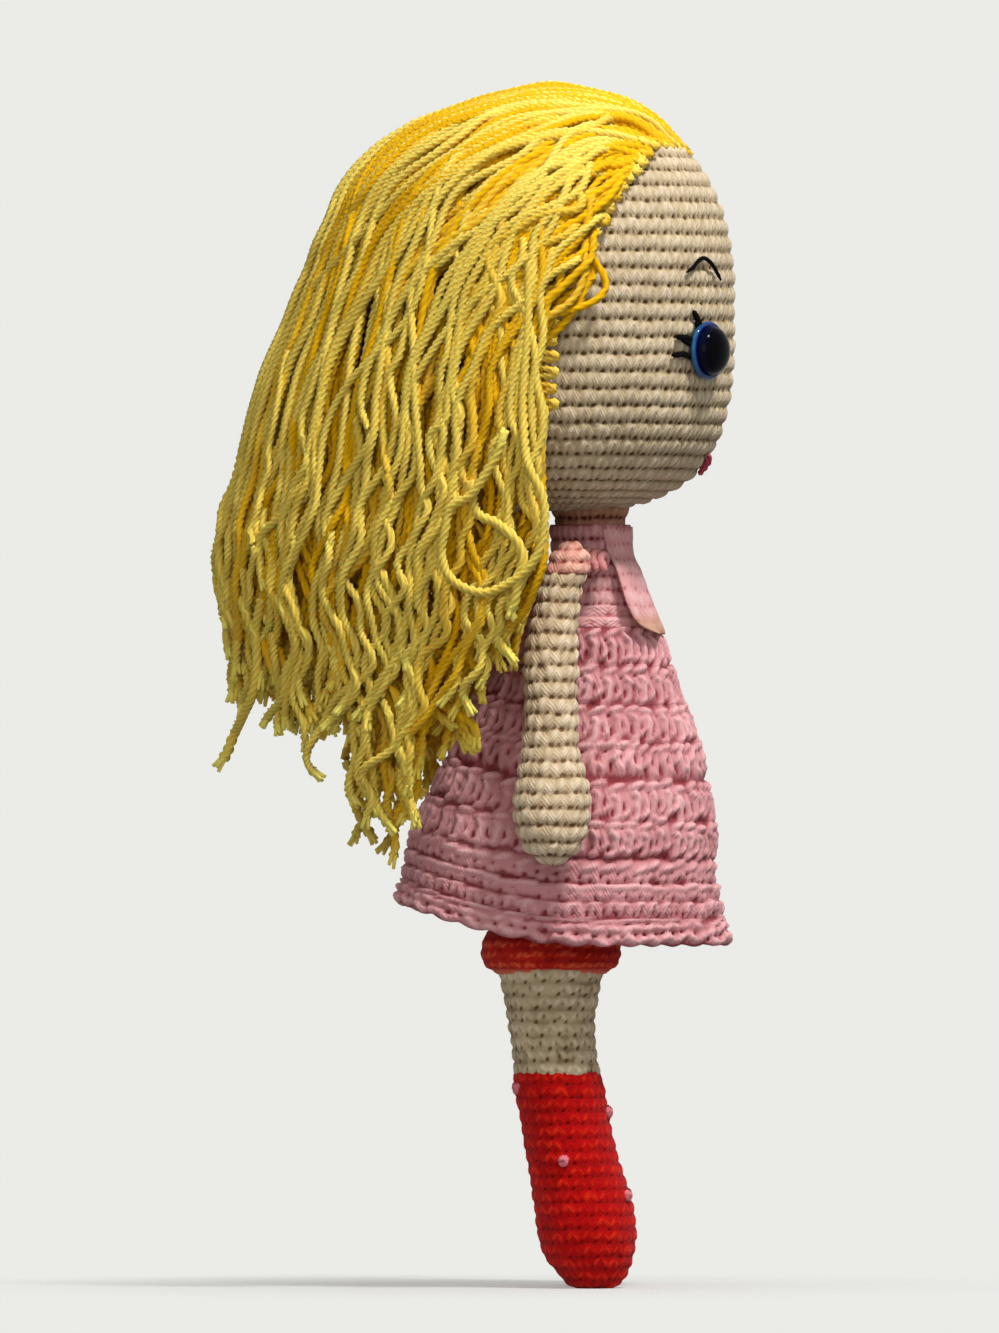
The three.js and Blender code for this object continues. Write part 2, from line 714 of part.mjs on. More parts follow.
function addArm(side, sign) {
  const arm_inside = armForm(sign, arm_wall, 0, 1 - wall_line);
  const skin_part = armForm(sign, 0, cuff_line + gap_line, 1).subtract(arm_inside);
  const sleeve_inside = armForm(sign, arm_wall, wall_line, 1 - wall_line);
  const sleeve_part = armForm(sign, 0, 0, cuff_line).subtract(sleeve_inside);
  const filling = armForm(sign, arm_wall + seat_gap, wall_line + gap_line, 1 - wall_line - gap_line);
  const ball = new THREE.SphereGeometry(shoulder_ball_radius, ball_sides, ball_rows);
  ball.translate(sign * shoulder_x, shoulder_set_back, shoulder_height);
  body.add(piece(`${side}_shoulder_stitches`, ball, pink_wool));
  body.add(piece(`${side}_sleeve`, geometryOf(sleeve_part), pink_wool));
  body.add(piece(`${side}_arm_shell`, geometryOf(skin_part), skin_wool));
  body.add(piece(`${side}_arm_stuffing`, geometryOf(filling), stuffing_wool));
}

// Leg below the cuff: height from the sole to the cuff, then its radius and how far it leans forward
const leg_shares = [
  [0, 0.39, 1], [0.012, 0.52, 0.99], [0.05, 0.72, 0.96], [0.1, 0.9, 0.88], [0.165, 0.99, 0.84], [0.24, 1, 0.78],
  [0.4, 0.93, 0.52], [0.55, 0.9, 0.3], [0.66, 0.9, 0.17], [0.7, 0.85, 0.13], [0.76, 0.85, 0.07], [0.86, 0.88, 0],
  [0.95, 0.98, 0], [1, 1.04, 0],
];
// Cuff and hip: height from the cuff's lower edge to the hip, then its depth and width
const cuff_shares = [
  [0, 0.76, 0.92], [0.1, 0.93, 0.98], [0.28, 1, 1], [0.4, 0.95, 0.98], [0.47, 0.84, 0.86], [0.53, 0.66, 0.7],
  [0.62, 0.5, 0.55],
];

function legForm(inside, first, last, count = leg_sides) {
  const between_ends = leg_shares.map((row) => row[0]).filter((up) => up > first && up < last);
  const rings = [first, ...between_ends, last].map((up) => {
    const [radius_share, lean_share] = between(leg_shares, up);
    const radius = radius_share * leg_radius - inside;
    return ring(round(radius), up * cuff_bottom_height, count, 0, -lean_share * leg_lean);
  });
  return solidOf(loft(rings));
}

function cuffForm(inside, count = leg_sides) {
  const [top_share] = cuff_shares[cuff_shares.length - 1];
  const low = cuff_bottom_height + inside;
  const high = cuff_bottom_height + top_share * (hip_height - cuff_bottom_height) - inside;
  const rings = cuff_shares.map(([up, depth_share, width_share]) => {
    const depth = depth_share * cuff_radius - inside;
    const reach = { front: depth, back: depth, side: width_share * cuff_half_width - inside };
    return ring(reach, THREE.MathUtils.lerp(low, high, up / top_share), count);
  });
  const hip = hipBall(hip_ball_half_width - inside, hip_ball_radius - inside).translate([0, 0, hip_height]);
  return solidOf(loft(rings)).add(hip);
}

// Round knots on the outer side of a boot: turn from the outer side towards the toe, and height
const dot_shares = [[-0.75, 0.92], [0.85, 0.83], [-0.12, 0.59], [0.75, 0.45]];
const toe_turn = Math.PI / 2;

function bootDot(sign, turn_share, up_share) {
  const height = up_share * boot_top_height;
  const [radius_share, lean_share] = between(leg_shares, height / cuff_bottom_height);
  const angle = turn_share * toe_turn;
  const geometry = new THREE.SphereGeometry(1, ball_rows, ball_rows / 2);
  geometry.scale(dot_rise, dot_radius, dot_radius);
  geometry.translate(radius_share * leg_radius + seat_gap + dot_rise, 0, 0);
  geometry.rotateZ(-angle);
  if (sign < 0) geometry.rotateZ(Math.PI + 2 * angle);
  geometry.translate(0, -lean_share * leg_lean, height);
  return geometry;
}

function addLeg(side, sign) {
  const leg = new THREE.Group();
  leg.position.set(sign * hip_half_spacing, hip_set_back, 0);
  const boot_end = boot_top_height / cuff_bottom_height;
  const gap_share = seat_gap / cuff_bottom_height;
  const wall_share = leg_wall / cuff_bottom_height;
  const hollow = legForm(leg_wall, wall_share, 1);
  const [top_share] = between(leg_shares, 1);
  const top_radius = top_share * leg_radius - leg_wall;
  const opening_top = cuff_bottom_height + 2 * leg_wall;
  const leg_opening = upright(top_radius, cuff_bottom_height - cut_overrun, opening_top, leg_sides);
  const boot = legForm(0, 0, boot_end).subtract(hollow);
  const calf = legForm(0, boot_end + gap_share, 1 - gap_share).subtract(hollow);
  const cuff = cuffForm(0).subtract(cuffForm(leg_wall)).subtract(solidOf(leg_opening));
  const packed = leg_wall + seat_gap;
  const filling = legForm(packed, wall_share + gap_share, 1 + 2 * wall_share, leg_sides / 2)
    .add(cuffForm(packed, leg_sides / 2));
  leg.add(piece(`${side}_boot`, geometryOf(boot), boot_wool));
  leg.add(piece(`${side}_calf`, geometryOf(calf), skin_wool));
  leg.add(piece(`${side}_bloomer_cuff`, geometryOf(cuff), cuff_wool));
  leg.add(piece(`${side}_leg_stuffing`, geometryOf(filling), stuffing_wool));
  dot_shares.forEach(([turn_share, up_share], k) => {
    leg.add(piece(`${side}_boot_dot_${k + 1}`, bootDot(sign, turn_share, up_share), dot_wool));
  });
  body.add(leg);
}

sides.forEach(({ side, sign }) => {
  addArm(side, sign);
  addLeg(side, sign);
});

const doll = new THREE.Group();
const standing = new THREE.Group();
standing.position.z = -hold_height;
standing.add(head, neck, body);
doll.add(standing);

export default doll;
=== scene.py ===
"""The finish of a crocheted doll: each shell is worked stitch by stitch as a raised surface, and the hair
is laid strand by strand. Shapes are worked out in millimetres above the soles, with the face towards -Y,
and a mesh is made from them in metres in the frame of the CAD model."""
import math

import bpy
import numpy as np
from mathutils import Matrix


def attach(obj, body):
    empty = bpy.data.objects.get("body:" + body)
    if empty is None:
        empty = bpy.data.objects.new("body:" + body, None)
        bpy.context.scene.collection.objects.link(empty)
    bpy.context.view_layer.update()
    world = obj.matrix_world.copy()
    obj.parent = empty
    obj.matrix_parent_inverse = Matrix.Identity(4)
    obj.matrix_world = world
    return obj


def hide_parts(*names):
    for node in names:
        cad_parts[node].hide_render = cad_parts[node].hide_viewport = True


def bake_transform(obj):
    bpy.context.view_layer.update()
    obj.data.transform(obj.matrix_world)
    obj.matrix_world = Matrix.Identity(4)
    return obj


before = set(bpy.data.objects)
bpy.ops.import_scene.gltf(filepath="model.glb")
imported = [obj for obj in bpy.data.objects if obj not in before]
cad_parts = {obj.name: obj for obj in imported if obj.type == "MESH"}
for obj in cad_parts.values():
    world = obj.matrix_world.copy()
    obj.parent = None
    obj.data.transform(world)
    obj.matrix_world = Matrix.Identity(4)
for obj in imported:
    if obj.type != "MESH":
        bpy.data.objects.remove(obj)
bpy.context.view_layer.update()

MM = 0.001
HOLD_HEIGHT = 150.0
TURN = 2 * math.pi
SIDES = (("right", -1), ("left", 1))


# ---- numbers read from tables


def smooth(table, at, column=1):
    """Fills in between the rows of a table with cubic curves whose slope at each row is the mean slope there."""
    table = np.asarray(table, float)
    xs, ys = table[:, 0], table[:, column]
    slope = np.gradient(ys, xs)
    at = np.clip(at, xs[0], xs[-1])
    k = np.clip(np.searchsorted(xs, at, side="right") - 1, 0, len(xs) - 2)
    wide = xs[k + 1] - xs[k]
    t = (at - xs[k]) / wide
    rise = (2 * t**3 - 3 * t**2 + 1) * ys[k] + (3 * t**2 - 2 * t**3) * ys[k + 1]
    return rise + wide * ((t**3 - 2 * t**2 + t) * slope[k] + (t**3 - t**2) * slope[k + 1])


def straight(table, at, column=1):
    """Fills in between the rows of a table with straight lines."""
    table = np.asarray(table, float)
    return np.interp(at, table[:, 0], table[:, column])


def eased(t):
    """Rises smoothly from 0 to 1 as t does."""
    t = np.clip(t, 0, 1)
    return t * t * (3 - 2 * t)


def unit(vectors):
    """Vectors divided by their own lengths."""
    return vectors / np.maximum(np.linalg.norm(vectors, axis=-1, keepdims=True), 1e-9)


def places(x, y, z):
    """Points from their three numbers, each of which may be one for all."""
    return np.stack(np.broadcast_arrays(x, y, z), -1).astype(float)


def distance_along(line):
    """How far along a line each of its points lies: the sum of the steps before it."""
    return np.concatenate([[0], np.cumsum(np.linalg.norm(np.diff(line, axis=0), axis=-1))])


# ---- meshes


def make_piece(name, points, faces, material, body, uv, **marks):
    """A mesh object from points in millimetres above the soles and lists of faces, each list with as many corners to
    a face. uv has a pair for each face corner, and marks are one number for each point. It rides on body, or on none
    if body is empty."""
    points = np.asarray(points, float) * MM
    points[:, 2] -= HOLD_HEIGHT * MM
    faces = [f for f in faces if len(f)]
    mesh = bpy.data.meshes.new(name)
    mesh.vertices.add(len(points))
    mesh.vertices.foreach_set("co", points.astype(np.float32).ravel())
    corners = np.concatenate([f.ravel() for f in faces]).astype(np.int32)
    totals = np.concatenate([np.full(len(f), f.shape[1]) for f in faces])
    mesh.loops.add(len(corners))
    mesh.loops.foreach_set("vertex_index", corners)
    mesh.polygons.add(len(totals))
    mesh.polygons.foreach_set("loop_start", (np.cumsum(totals) - totals).astype(np.int32))
    mesh.polygons.foreach_set("use_smooth", np.ones(len(totals), bool))
    mesh.update(calc_edges=True)
    mesh.uv_layers.new(name="stitches").uv.foreach_set("vector", np.asarray(uv, np.float32).ravel())
    for mark, values in marks.items():
        made = mesh.attributes.new(mark, "FLOAT", "POINT")
        made.data.foreach_set("value", np.asarray(values, np.float32).ravel())
    mesh.materials.append(material)
    mesh.validate()
    piece = bpy.data.objects.new(name, mesh)
    bpy.context.scene.collection.objects.link(piece)
    if body:
        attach(piece, body)
    return piece


def grid_faces(rows, columns, around=True, start=0):
    """Four-sided faces between the points of a grid, and the grid place of each corner, for faces that point out
    where rows climb and columns run anticlockwise seen from above."""
    r, c = np.meshgrid(np.arange(rows - 1), np.arange(columns if around else columns - 1), indexing="ij")
    r, c = r.ravel(), c.ravel()
    place_r = np.stack([r, r, r + 1, r + 1], 1)
    place_c = np.stack([c, c + 1, c + 1, c], 1)
    return start + place_r * columns + place_c % columns, (place_r, place_c)


def cap_fan(ring, centre, flip):
    """Triangles from a ring of points to the point at its middle."""
    after = np.roll(ring, -1)
    first, second = (after, ring) if flip else (ring, after)
    return np.stack([np.full(len(ring), centre), first, second], 1)


# ---- crochet


# One grain of a stitch: where its middle is across and up the stitch, its half width and half height, how far it
# leans across for each stitch upward, how far it tilts up for each stitch across, and how tall it stands. A grain of
# negative height is a hollow.
SINGLE = (
    (0.50, 0.46, 2.00, 0.65, 0.0, 0.0, 0.66),
    (0.27, 0.56, 0.27, 0.50, 0.14, 0.0, 0.98),
    (0.76, 0.45, 0.25, 0.48, -0.12, 0.0, 0.90),
    (0.52, 0.74, 0.30, 0.22, 0.0, 0.25, 0.80),
    (0.00, 0.05, 0.22, 0.17, 0.0, 0.0, -0.60),
    (0.51, 0.10, 0.12, 0.19, 0.0, 0.0, -0.40),
)
KNOBS = (
    (0.50, 0.50, 2.00, 0.61, 0.0, 0.0, 0.60),
    (0.25, 0.58, 0.26, 0.50, 0.20, 0.0, 1.00),
    (0.75, 0.45, 0.25, 0.48, -0.14, 0.0, 0.90),
    (0.02, 0.05, 0.20, 0.19, 0.0, 0.0, -0.60),
    (0.51, 0.07, 0.12, 0.18, 0.0, 0.0, -0.40),
)
FLAT = (
    (0.50, 0.52, 2.00, 0.72, 0.0, 0.0, 0.56),
    (0.25, 0.58, 0.25, 0.44, -0.46, 0.0, 0.92),
    (0.75, 0.54, 0.24, 0.42, 0.46, 0.0, 0.84),
    (0.50, 0.16, 0.13, 0.22, 0.3, 0.0, -0.56),
    (0.00, 0.52, 0.10, 0.26, 0.2, 0.0, -0.34),
)
BOOT = (
    (0.50, 0.52, 2.00, 0.78, 0.0, 0.0, 0.62),
    (0.27, 0.55, 0.22, 0.47, 0.52, 0.0, 0.92),
    (0.76, 0.50, 0.22, 0.44, -0.50, 0.0, 0.86),
    (0.03, 0.15, 0.20, 0.14, 0.0, 0.45, -0.46),
    (0.52, 0.12, 0.12, 0.16, 0.3, 0.0, -0.30),
)
DOUBLE = (
    (0.50, 0.54, 3.00, 0.57, 0.0, 0.0, 0.46),
    (0.44, 0.87, 0.56, 0.125, 0.0, 0.10, 1.00),
    (0.46, 0.42, 0.25, 0.47, 0.24, 0.0, 0.90),
    (0.96, 0.46, 0.22, 0.40, -0.30, 0.0, 0.80),
    (0.40, 0.62, 0.42, 0.13, 0.0, -0.42, 1.02),
    (0.86, 0.24, 0.30, 0.12, 0.0, 0.40, 0.88),
    (0.30, 0.11, 0.34, 0.12, 0.0, 0.15, 0.82),
    (0.76, 0.43, 0.08, 0.17, 0.25, 0.0, -0.46),
    (0.14, 0.26, 0.09, 0.14, 0.25, 0.0, -0.56),
    (0.10, 0.72, 0.16, 0.05, 0.0, 0.1, -0.34),
)
DOUBLE_TURNED = (
    (0.50, 0.54, 3.00, 0.57, 0.0, 0.0, 0.46),
    (0.30, 0.89, 0.42, 0.12, 0.0, 0.26, 1.00),
    (0.82, 0.87, 0.38, 0.12, 0.0, 0.26, 0.98),
    (0.50, 0.44, 0.24, 0.44, -0.30, 0.0, 0.88),
    (0.98, 0.42, 0.22, 0.42, 0.26, 0.0, 0.82),
    (0.46, 0.60, 0.40, 0.13, 0.0, 0.44, 1.00),
    (0.84, 0.28, 0.32, 0.11, 0.0, -0.36, 0.90),
    (0.24, 0.28, 0.09, 0.18, -0.2, 0.0, -0.56),
    (0.76, 0.50, 0.08, 0.14, 0.2, 0.0, -0.42),
    (0.04, 0.73, 0.16, 0.06, 0.0, 0.2, -0.36),
)
ROPE = (
    (0.50, 0.50, 3.00, 0.56, 0.0, 0.0, 0.60),
    (0.50, 0.66, 0.62, 0.20, 0.0, 0.24, 1.00),
    (0.28, 0.24, 0.26, 0.24, 0.3, 0.0, 0.76),
    (0.78, 0.22, 0.24, 0.22, -0.3, 0.0, 0.70),
    (0.04, 0.34, 0.14, 0.10, 0.0, 0.3, -0.42),
    (0.54, 0.10, 0.10, 0.12, 0.0, 0.0, -0.40),
)
CORD = (
    (0.50, 0.50, 3.00, 0.56, 0.0, 0.0, 0.60),
    (0.50, 0.74, 1.60, 0.24, 0.0, 0.04, 0.92),
    (0.28, 0.34, 0.26, 0.32, -0.3, 0.0, 0.74),
    (0.78, 0.34, 0.24, 0.30, 0.3, 0.0, 0.70),
    (0.03, 0.20, 0.12, 0.16, 0.0, 0.0, -0.46),
    (0.53, 0.44, 0.10, 0.08, 0.0, 0.0, -0.30),
)
SHORT = (
    (0.50, 0.54, 3.00, 0.58, 0.0, 0.0, 0.50),
    (0.34, 0.52, 0.24, 0.50, 0.34, 0.0, 0.92),
    (0.82, 0.48, 0.22, 0.46, -0.34, 0.0, 0.84),
    (0.50, 0.80, 0.56, 0.18, 0.0, 0.16, 0.98),
    (0.04, 0.30, 0.12, 0.24, 0.2, 0.0, -0.56),
    (0.58, 0.34, 0.09, 0.16, 0.0, 0.0, -0.36),
)
EDGING = (
    (0.50, 0.50, 3.00, 0.62, 0.0, 0.0, 0.48),
    (0.26, 0.60, 0.34, 0.17, 0.0, 0.34, 0.98),
    (0.78, 0.62, 0.32, 0.16, 0.0, -0.14, 0.92),
    (0.46, 0.24, 0.36, 0.20, 0.0, -0.36, 1.04),
    (0.98, 0.22, 0.30, 0.19, 0.0, 0.30, 0.98),
    (0.60, 0.90, 0.70, 0.11, 0.0, 0.10, 0.84),
    (0.08, 0.36, 0.12, 0.12, 0.3, 0.0, -0.56),
    (0.62, 0.42, 0.12, 0.10, 0.3, 0.0, -0.46),
    (0.30, 0.80, 0.16, 0.06, 0.0, 0.2, -0.36),
)


# How much chance moves a stitch across and up, in stitches, how far it leans it, and how much taller it makes it; and
# the same, but for the leaning, for each grain in it
STITCH_ACROSS, STITCH_UP, STITCH_LEAN, STITCH_TALLER = 0.045, 0.028, 0.05, 0.06
GRAIN_ACROSS, GRAIN_UP, GRAIN_TALLER = 0.030, 0.018, 0.05
MOUND_POWER, HOLLOW_POWER, JOINING_POWER = 0.58, 1.2, 5
TALLEST = 1.3


def relief(turn, row, counts, kinds, phase, unevenness, seed):
    """How high the yarn stands at each place, from 0 in a gap to about 1. turn is the part of a turn and row the
    count of rows so far; counts is how many stitches each row has. A grain is a mound: its height times a power of
    one less the squared distance from its middle in half widths and half heights. The grains near a place are joined
    by the fifth root of the sum of their fifth powers, and hollows are taken off that. Each stitch, and each grain in
    it, is shifted and raised a little by chance, but a grain wider than a stitch is a ridge along the whole row."""
    counts = np.asarray(counts, int)
    chance = np.random.default_rng(seed)
    luck = chance.normal(size=(len(counts), counts.max(), 4)) * unevenness
    own = chance.normal(size=(len(counts), counts.max(), max(map(len, kinds)), 3)).clip(-2, 2) * unevenness
    turn, row = np.broadcast_arrays(turn, row)
    low = np.clip(np.floor(row).astype(int), 0, len(counts) - 1)
    mounds, hollows = np.zeros(row.shape), np.zeros(row.shape)
    for near_row in (-1, 0, 1):
        k = np.clip(low + near_row, 0, len(counts) - 1)
        there = low + near_row == k
        along = turn * counts[k] + phase * k
        first = np.floor(along).astype(int)
        up = row - k
        for near in (-1, 0, 1):
            across = along - first - near
            this = (first + near) % counts[k]
            shift, lift, swell, swing = np.moveaxis(luck[k, this], -1, 0)
            for kind in {id(x): x for x in kinds}.values():
                chosen = there & np.array([x is kind for x in kinds])[k]
                if not chosen.any():
                    continue
                for number, (x, y, wide, high, lean, tilt, top) in enumerate(kind):
                    ridge = wide > 1
                    if ridge and near:
                        continue
                    sideways, upward, taller = np.moveaxis(own[k, this, number], -1, 0)
                    if ridge:
                        sideways, upward = 0.0, 0.0
                    dx = across - x - (0 if ridge else STITCH_ACROSS * shift) - GRAIN_ACROSS * sideways
                    dy = up - y - STITCH_UP * lift - GRAIN_UP * upward
                    turned = STITCH_LEAN * swing
                    far = ((dx - (lean + turned) * dy) / wide) ** 2 + ((dy - (tilt - turned) * dx) / high) ** 2
                    grain = np.where(chosen, np.clip(1 - far, 0, 1), 0)
                    if top > 0:
                        taller = 1 + STITCH_TALLER * swell + GRAIN_TALLER * taller
                        mounds += (top * taller * grain**MOUND_POWER) ** JOINING_POWER
                    else:
                        hollows += top * grain**HOLLOW_POWER
    return np.clip(mounds ** (1 / JOINING_POWER) + hollows, 0, TALLEST)


def outward(points):
    """Unit normals of a ring-shaped grid of points, from the differences to the neighbours up it and round it."""
    return unit(np.cross(np.roll(points, -1, 1) - np.roll(points, 1, 1), np.gradient(points, axis=0)))


def girth(rings):
    """The length round each ring of points."""
    return np.linalg.norm(rings - np.roll(rings, 1, -2), axis=-1).sum(-1)


def place_rows(form, pitch, step, cuts, levels):
    """The places between the rows of a shell, the places of its points up the form, and the count of rows up to each
    of those. Distances are measured up the form, as the mean of its side and its front."""
    many = np.linspace(0, 1, 400)
    spine = form(many[:, None], np.array([[math.pi, TURN * 0.75]]))
    far = np.concatenate([[0], np.cumsum(np.linalg.norm(np.diff(spine, axis=0), axis=-1).mean(1))])
    if cuts is None:
        cuts = np.interp(np.linspace(0, far[-1], max(1, round(far[-1] / pitch)) + 1), far, many)
    if levels is None:
        levels = np.interp(np.linspace(0, far[-1], int(far[-1] / step) + 2), far, many)
    return cuts, levels, np.interp(levels, cuts, np.arange(len(cuts)))


def inner_wall(wall, rows, top, across, row):
    """Points, faces and corner places of a plain wall inside a shell that has so many rows of points. The wall's rings
    run from below the shell's top edge, which it stays under, down to its bottom edge."""
    columns = wall.shape[1]
    wall[0, :, 2] = np.minimum(wall[0, :, 2], top)
    index = np.concatenate([
        (rows - 1) * columns + np.arange(columns)[None],
        rows * columns + np.arange(len(wall) * columns).reshape(-1, columns),
        np.arange(columns)[None],
    ])
    _, (r, c) = grid_faces(len(index), columns)
    far = np.linspace(row[-1], row[0], len(index))
    return wall.reshape(-1, 3), index[r, c % columns], np.stack([across[c], far[r]], -1).reshape(-1, 2)


WALL_LOFT, HANGING_SHARE = 0.45, 0.8


def crochet(name, form, material, body, pitch, stitch, depth, step, kinds, angles=None, cuts=None, phase=0.5,
            lining=0.0, seed=1, unevenness=1.0, levels=None, hem=0.0):
    """A shell worked in rounds. form(up, angle) gives its smooth surface, from the bottom at 0 to the top at 1, and
    the yarn stands out from that along the surface's normal by depth times the relief. pitch and stitch are the
    height of a row and the width of a stitch, unless cuts gives the places between the rows, and kinds is one kind of
    stitch or a list with one for each row. Points lie step apart up the shell and round it, unless levels and angles
    give their places. phase is how far each row's stitches start past those of the row below, in stitches. With a
    lining, a plain inner wall that far inside closes the shell; otherwise a fan closes each end. hem is how far the
    middle of each stitch of the lowest row hangs down. Each point carries the relief there as its loft."""
    cuts, up, row = place_rows(form, pitch, step, cuts, levels)
    kinds = kinds if isinstance(kinds, list) else [kinds] * (len(cuts) - 1)
    around = np.linspace(0, TURN, 65)[:-1]
    if angles is None:
        angles = np.linspace(0, TURN, int(girth(form(np.full(len(around), 0.5), around)) / step) + 1)[:-1]
    middles = (cuts[1:] + cuts[:-1]) / 2
    counts = np.maximum(4, np.round(girth(form(middles[:, None], around[None])) / stitch)).astype(int)
    points = form(up[:, None], angles[None, :])
    normals = outward(points)
    turn = angles / TURN
    height = relief(turn[None, :], row[:, None], counts, kinds, phase, unevenness, seed)
    if not lining:
        height[0], height[-1] = height[0].mean(), height[-1].mean()
    raised = points + normals * (depth * height)[..., None]
    if hem:
        lowest = 1 - eased(row[:, None] / HANGING_SHARE)
        raised[..., 2] -= hem * lowest * np.abs(np.sin(math.pi * turn * counts[0]))

    rows, columns = height.shape
    faces, (place_r, place_c) = grid_faces(rows, columns)
    k = np.clip(np.floor(row).astype(int), 0, len(counts) - 1)[:, None]
    across = np.append(turn, 1.0) * counts[k] + phase * k
    uv = np.stack([across[place_r, place_c], row[place_r]], -1).reshape(-1, 2)
    parts = [(raised.reshape(-1, 3), faces, uv, height.ravel())]
    if lining:
        picks = np.unique(np.linspace(0, rows - 1, max(3, rows // 6)).astype(int))
        wall = (points - normals * lining)[picks[::-1]]
        wall = inner_wall(wall, rows, raised[-1, :, 2], across[0], row)
        parts.append((*wall, np.full(len(wall[0]), WALL_LOFT)))
    else:
        for number, at in enumerate((0, rows - 1)):
            fan = cap_fan(at * columns + np.arange(columns), rows * columns + number, at == 0)
            fan_uv = np.tile([[across[at].mean(), row[at]]], (fan.size, 1))
            parts.append((raised[at].mean(0)[None], fan, fan_uv, height[at].mean()[None]))
    points, faces, uv, loft = zip(*parts)
    return make_piece(name, np.concatenate(points), faces, material, body, uv=np.concatenate(uv),
                      loft=np.concatenate(loft))


# ---- colours and materials


def tint(red, green, blue):
    """A colour as seen on a screen, as the light that it stands for."""
    parts = np.array([red, green, blue]) / 255
    light = np.where(parts <= 0.04045, parts / 12.92, ((parts + 0.055) / 1.055) ** 2.4)
    return (*light.tolist(), 1.0)


def put(tree, kind, settings=(), **values):
    """A node with its settings and the values of its inputs, which are named or numbered as i0, i1 and so on."""
    node = tree.nodes.new(kind)
    for key, value in dict(settings).items():
        setattr(node, key, value)
    for key, value in values.items():
        socket = node.inputs[int(key[1:])] if key[0] == "i" and key[1:].isdigit() else node.inputs[key]
        if isinstance(value, bpy.types.NodeSocket):
            tree.links.new(value, socket)
        else:
            socket.default_value = value
    return node


def maths(tree, operation, *values):
    """The outcome of one sum or other operation on values or on the outputs of other nodes."""
    inputs = {f"i{k}": value for k, value in enumerate(values)}
    return put(tree, "ShaderNodeMath", {"operation": operation}, **inputs).outputs[0]


def weighed(tree, *terms):
    """The sum of two values, each times its own weight."""
    return maths(tree, "ADD", *(maths(tree, "MULTIPLY", *term) for term in terms))


def short_of(tree, level, value, times):
    """How far a value falls short of a level, times a number."""
    return maths(tree, "MULTIPLY", maths(tree, "SUBTRACT", level, value), times)


def blended(tree, amount, first, second):
    """The first colour where amount is 0, the second where it is 1, and their mean by shares in between."""
    return put(tree, "ShaderNodeMix", {"data_type": "RGBA"}, i0=amount, i6=first, i7=second).outputs[2]


def ramped(tree, value, start, end):
    """Rises smoothly from 0 to 1 as value goes from start to end."""
    return put(tree, "ShaderNodeMapRange", {"interpolation_type": "SMOOTHSTEP"}, i0=value, i1=start, i2=end).outputs[0]


def noise(tree, scale, detail, roughness=0.5, place=None):
    """Soft noise with so many waves to a metre over the piece itself, or over another place."""
    place = place or put(tree, "ShaderNodeTexCoord").outputs["Object"]
    return put(tree, "ShaderNodeTexNoise", Vector=place, Scale=scale, Detail=detail, Roughness=roughness).outputs[0]


def stitch_place(tree):
    """The place on a piece, as two numbers: across and up, in stitches and rows or as each piece says."""
    place = put(tree, "ShaderNodeUVMap", {"uv_map": "stitches"}).outputs[0]
    return place, put(tree, "ShaderNodeSeparateXYZ", i0=place).outputs


def carried(tree, name):
    """The number that a piece's points carry under a name."""
    return put(tree, "ShaderNodeAttribute", {"attribute_name": name}).outputs["Fac"]


def new_material(name):
    """An empty material, its node tree and its shader."""
    material = bpy.data.materials.new(name)
    material.use_nodes = True
    return material, material.node_tree, material.node_tree.nodes["Principled BSDF"]


def new_group(name, inputs, outputs):
    """An empty node group with named colours and numbers going in and coming out."""
    group = bpy.data.node_groups.new(name, "ShaderNodeTree")
    for direction, sockets in (("INPUT", inputs), ("OUTPUT", outputs)):
        for label, kind, value in sockets:
            socket = group.interface.new_socket(label, in_out=direction, socket_type=f"NodeSocket{kind}")
            if value is not None:
                socket.default_value = value
    return group, group.nodes.new("NodeGroupInput").outputs, group.nodes.new("NodeGroupOutput").inputs


def worked_yarn():
    """Crocheted cotton: painted shade in the hollows, a painted highlight on the crowns, slanting plies along each
    grain, and loose fibres. The plies are a sine of the place along the stitch, mirrored about its middle."""
    grey = (0.5, 0.5, 0.5, 1)
    group, given, made = new_group(
        "worked_yarn",
        (("Hollow", "Color", grey), ("Yarn", "Color", grey), ("Crown", "Color", grey),
         ("Plies", "Float", 3.0), ("Unevenness", "Float", 0.5)),
        (("Color", "Color", None), ("Height", "Float", None)),
    )
    loft = carried(group, "loft")
    _, (across, up, _) = stitch_place(group)
    cross = maths(group, "ABSOLUTE", maths(group, "SUBTRACT", maths(group, "FRACT", across), 0.5))
    along = maths(group, "MULTIPLY_ADD", cross, 1.6, up)
    along = maths(group, "MULTIPLY_ADD", along, given["Plies"], noise(group, 420.0, 2.0))
    ply = maths(group, "SINE", maths(group, "MULTIPLY", along, TURN))
    ply = maths(group, "MULTIPLY_ADD", ply, 0.5, 0.5)
    fibre, patch = noise(group, 2600.0, 3.0, 0.7), noise(group, 70.0, 2.0)
    # Painted shade: the low places of the relief take the dark colour
    colour = blended(group, ramped(group, loft, 0.12, 0.62), given["Hollow"], given["Yarn"])
    # Painted highlight: the high places take the pale colour, strongest on the plies
    paler = maths(group, "MULTIPLY", ramped(group, loft, 0.62, 1.0), maths(group, "MULTIPLY_ADD", ply, 0.45, 0.55))
    colour = blended(group, paler, colour, given["Crown"])
    # Random mottling runs towards the same dark colour, as uneven tone of the yarn
    mottle = short_of(group, 0.62, weighed(group, (patch, 0.6), (fibre, 0.4)), given["Unevenness"])
    group.links.new(blended(group, mottle, colour, given["Hollow"]), made["Color"])
    group.links.new(weighed(group, (ply, 0.55), (fibre, 0.75)), made["Height"])
    return group


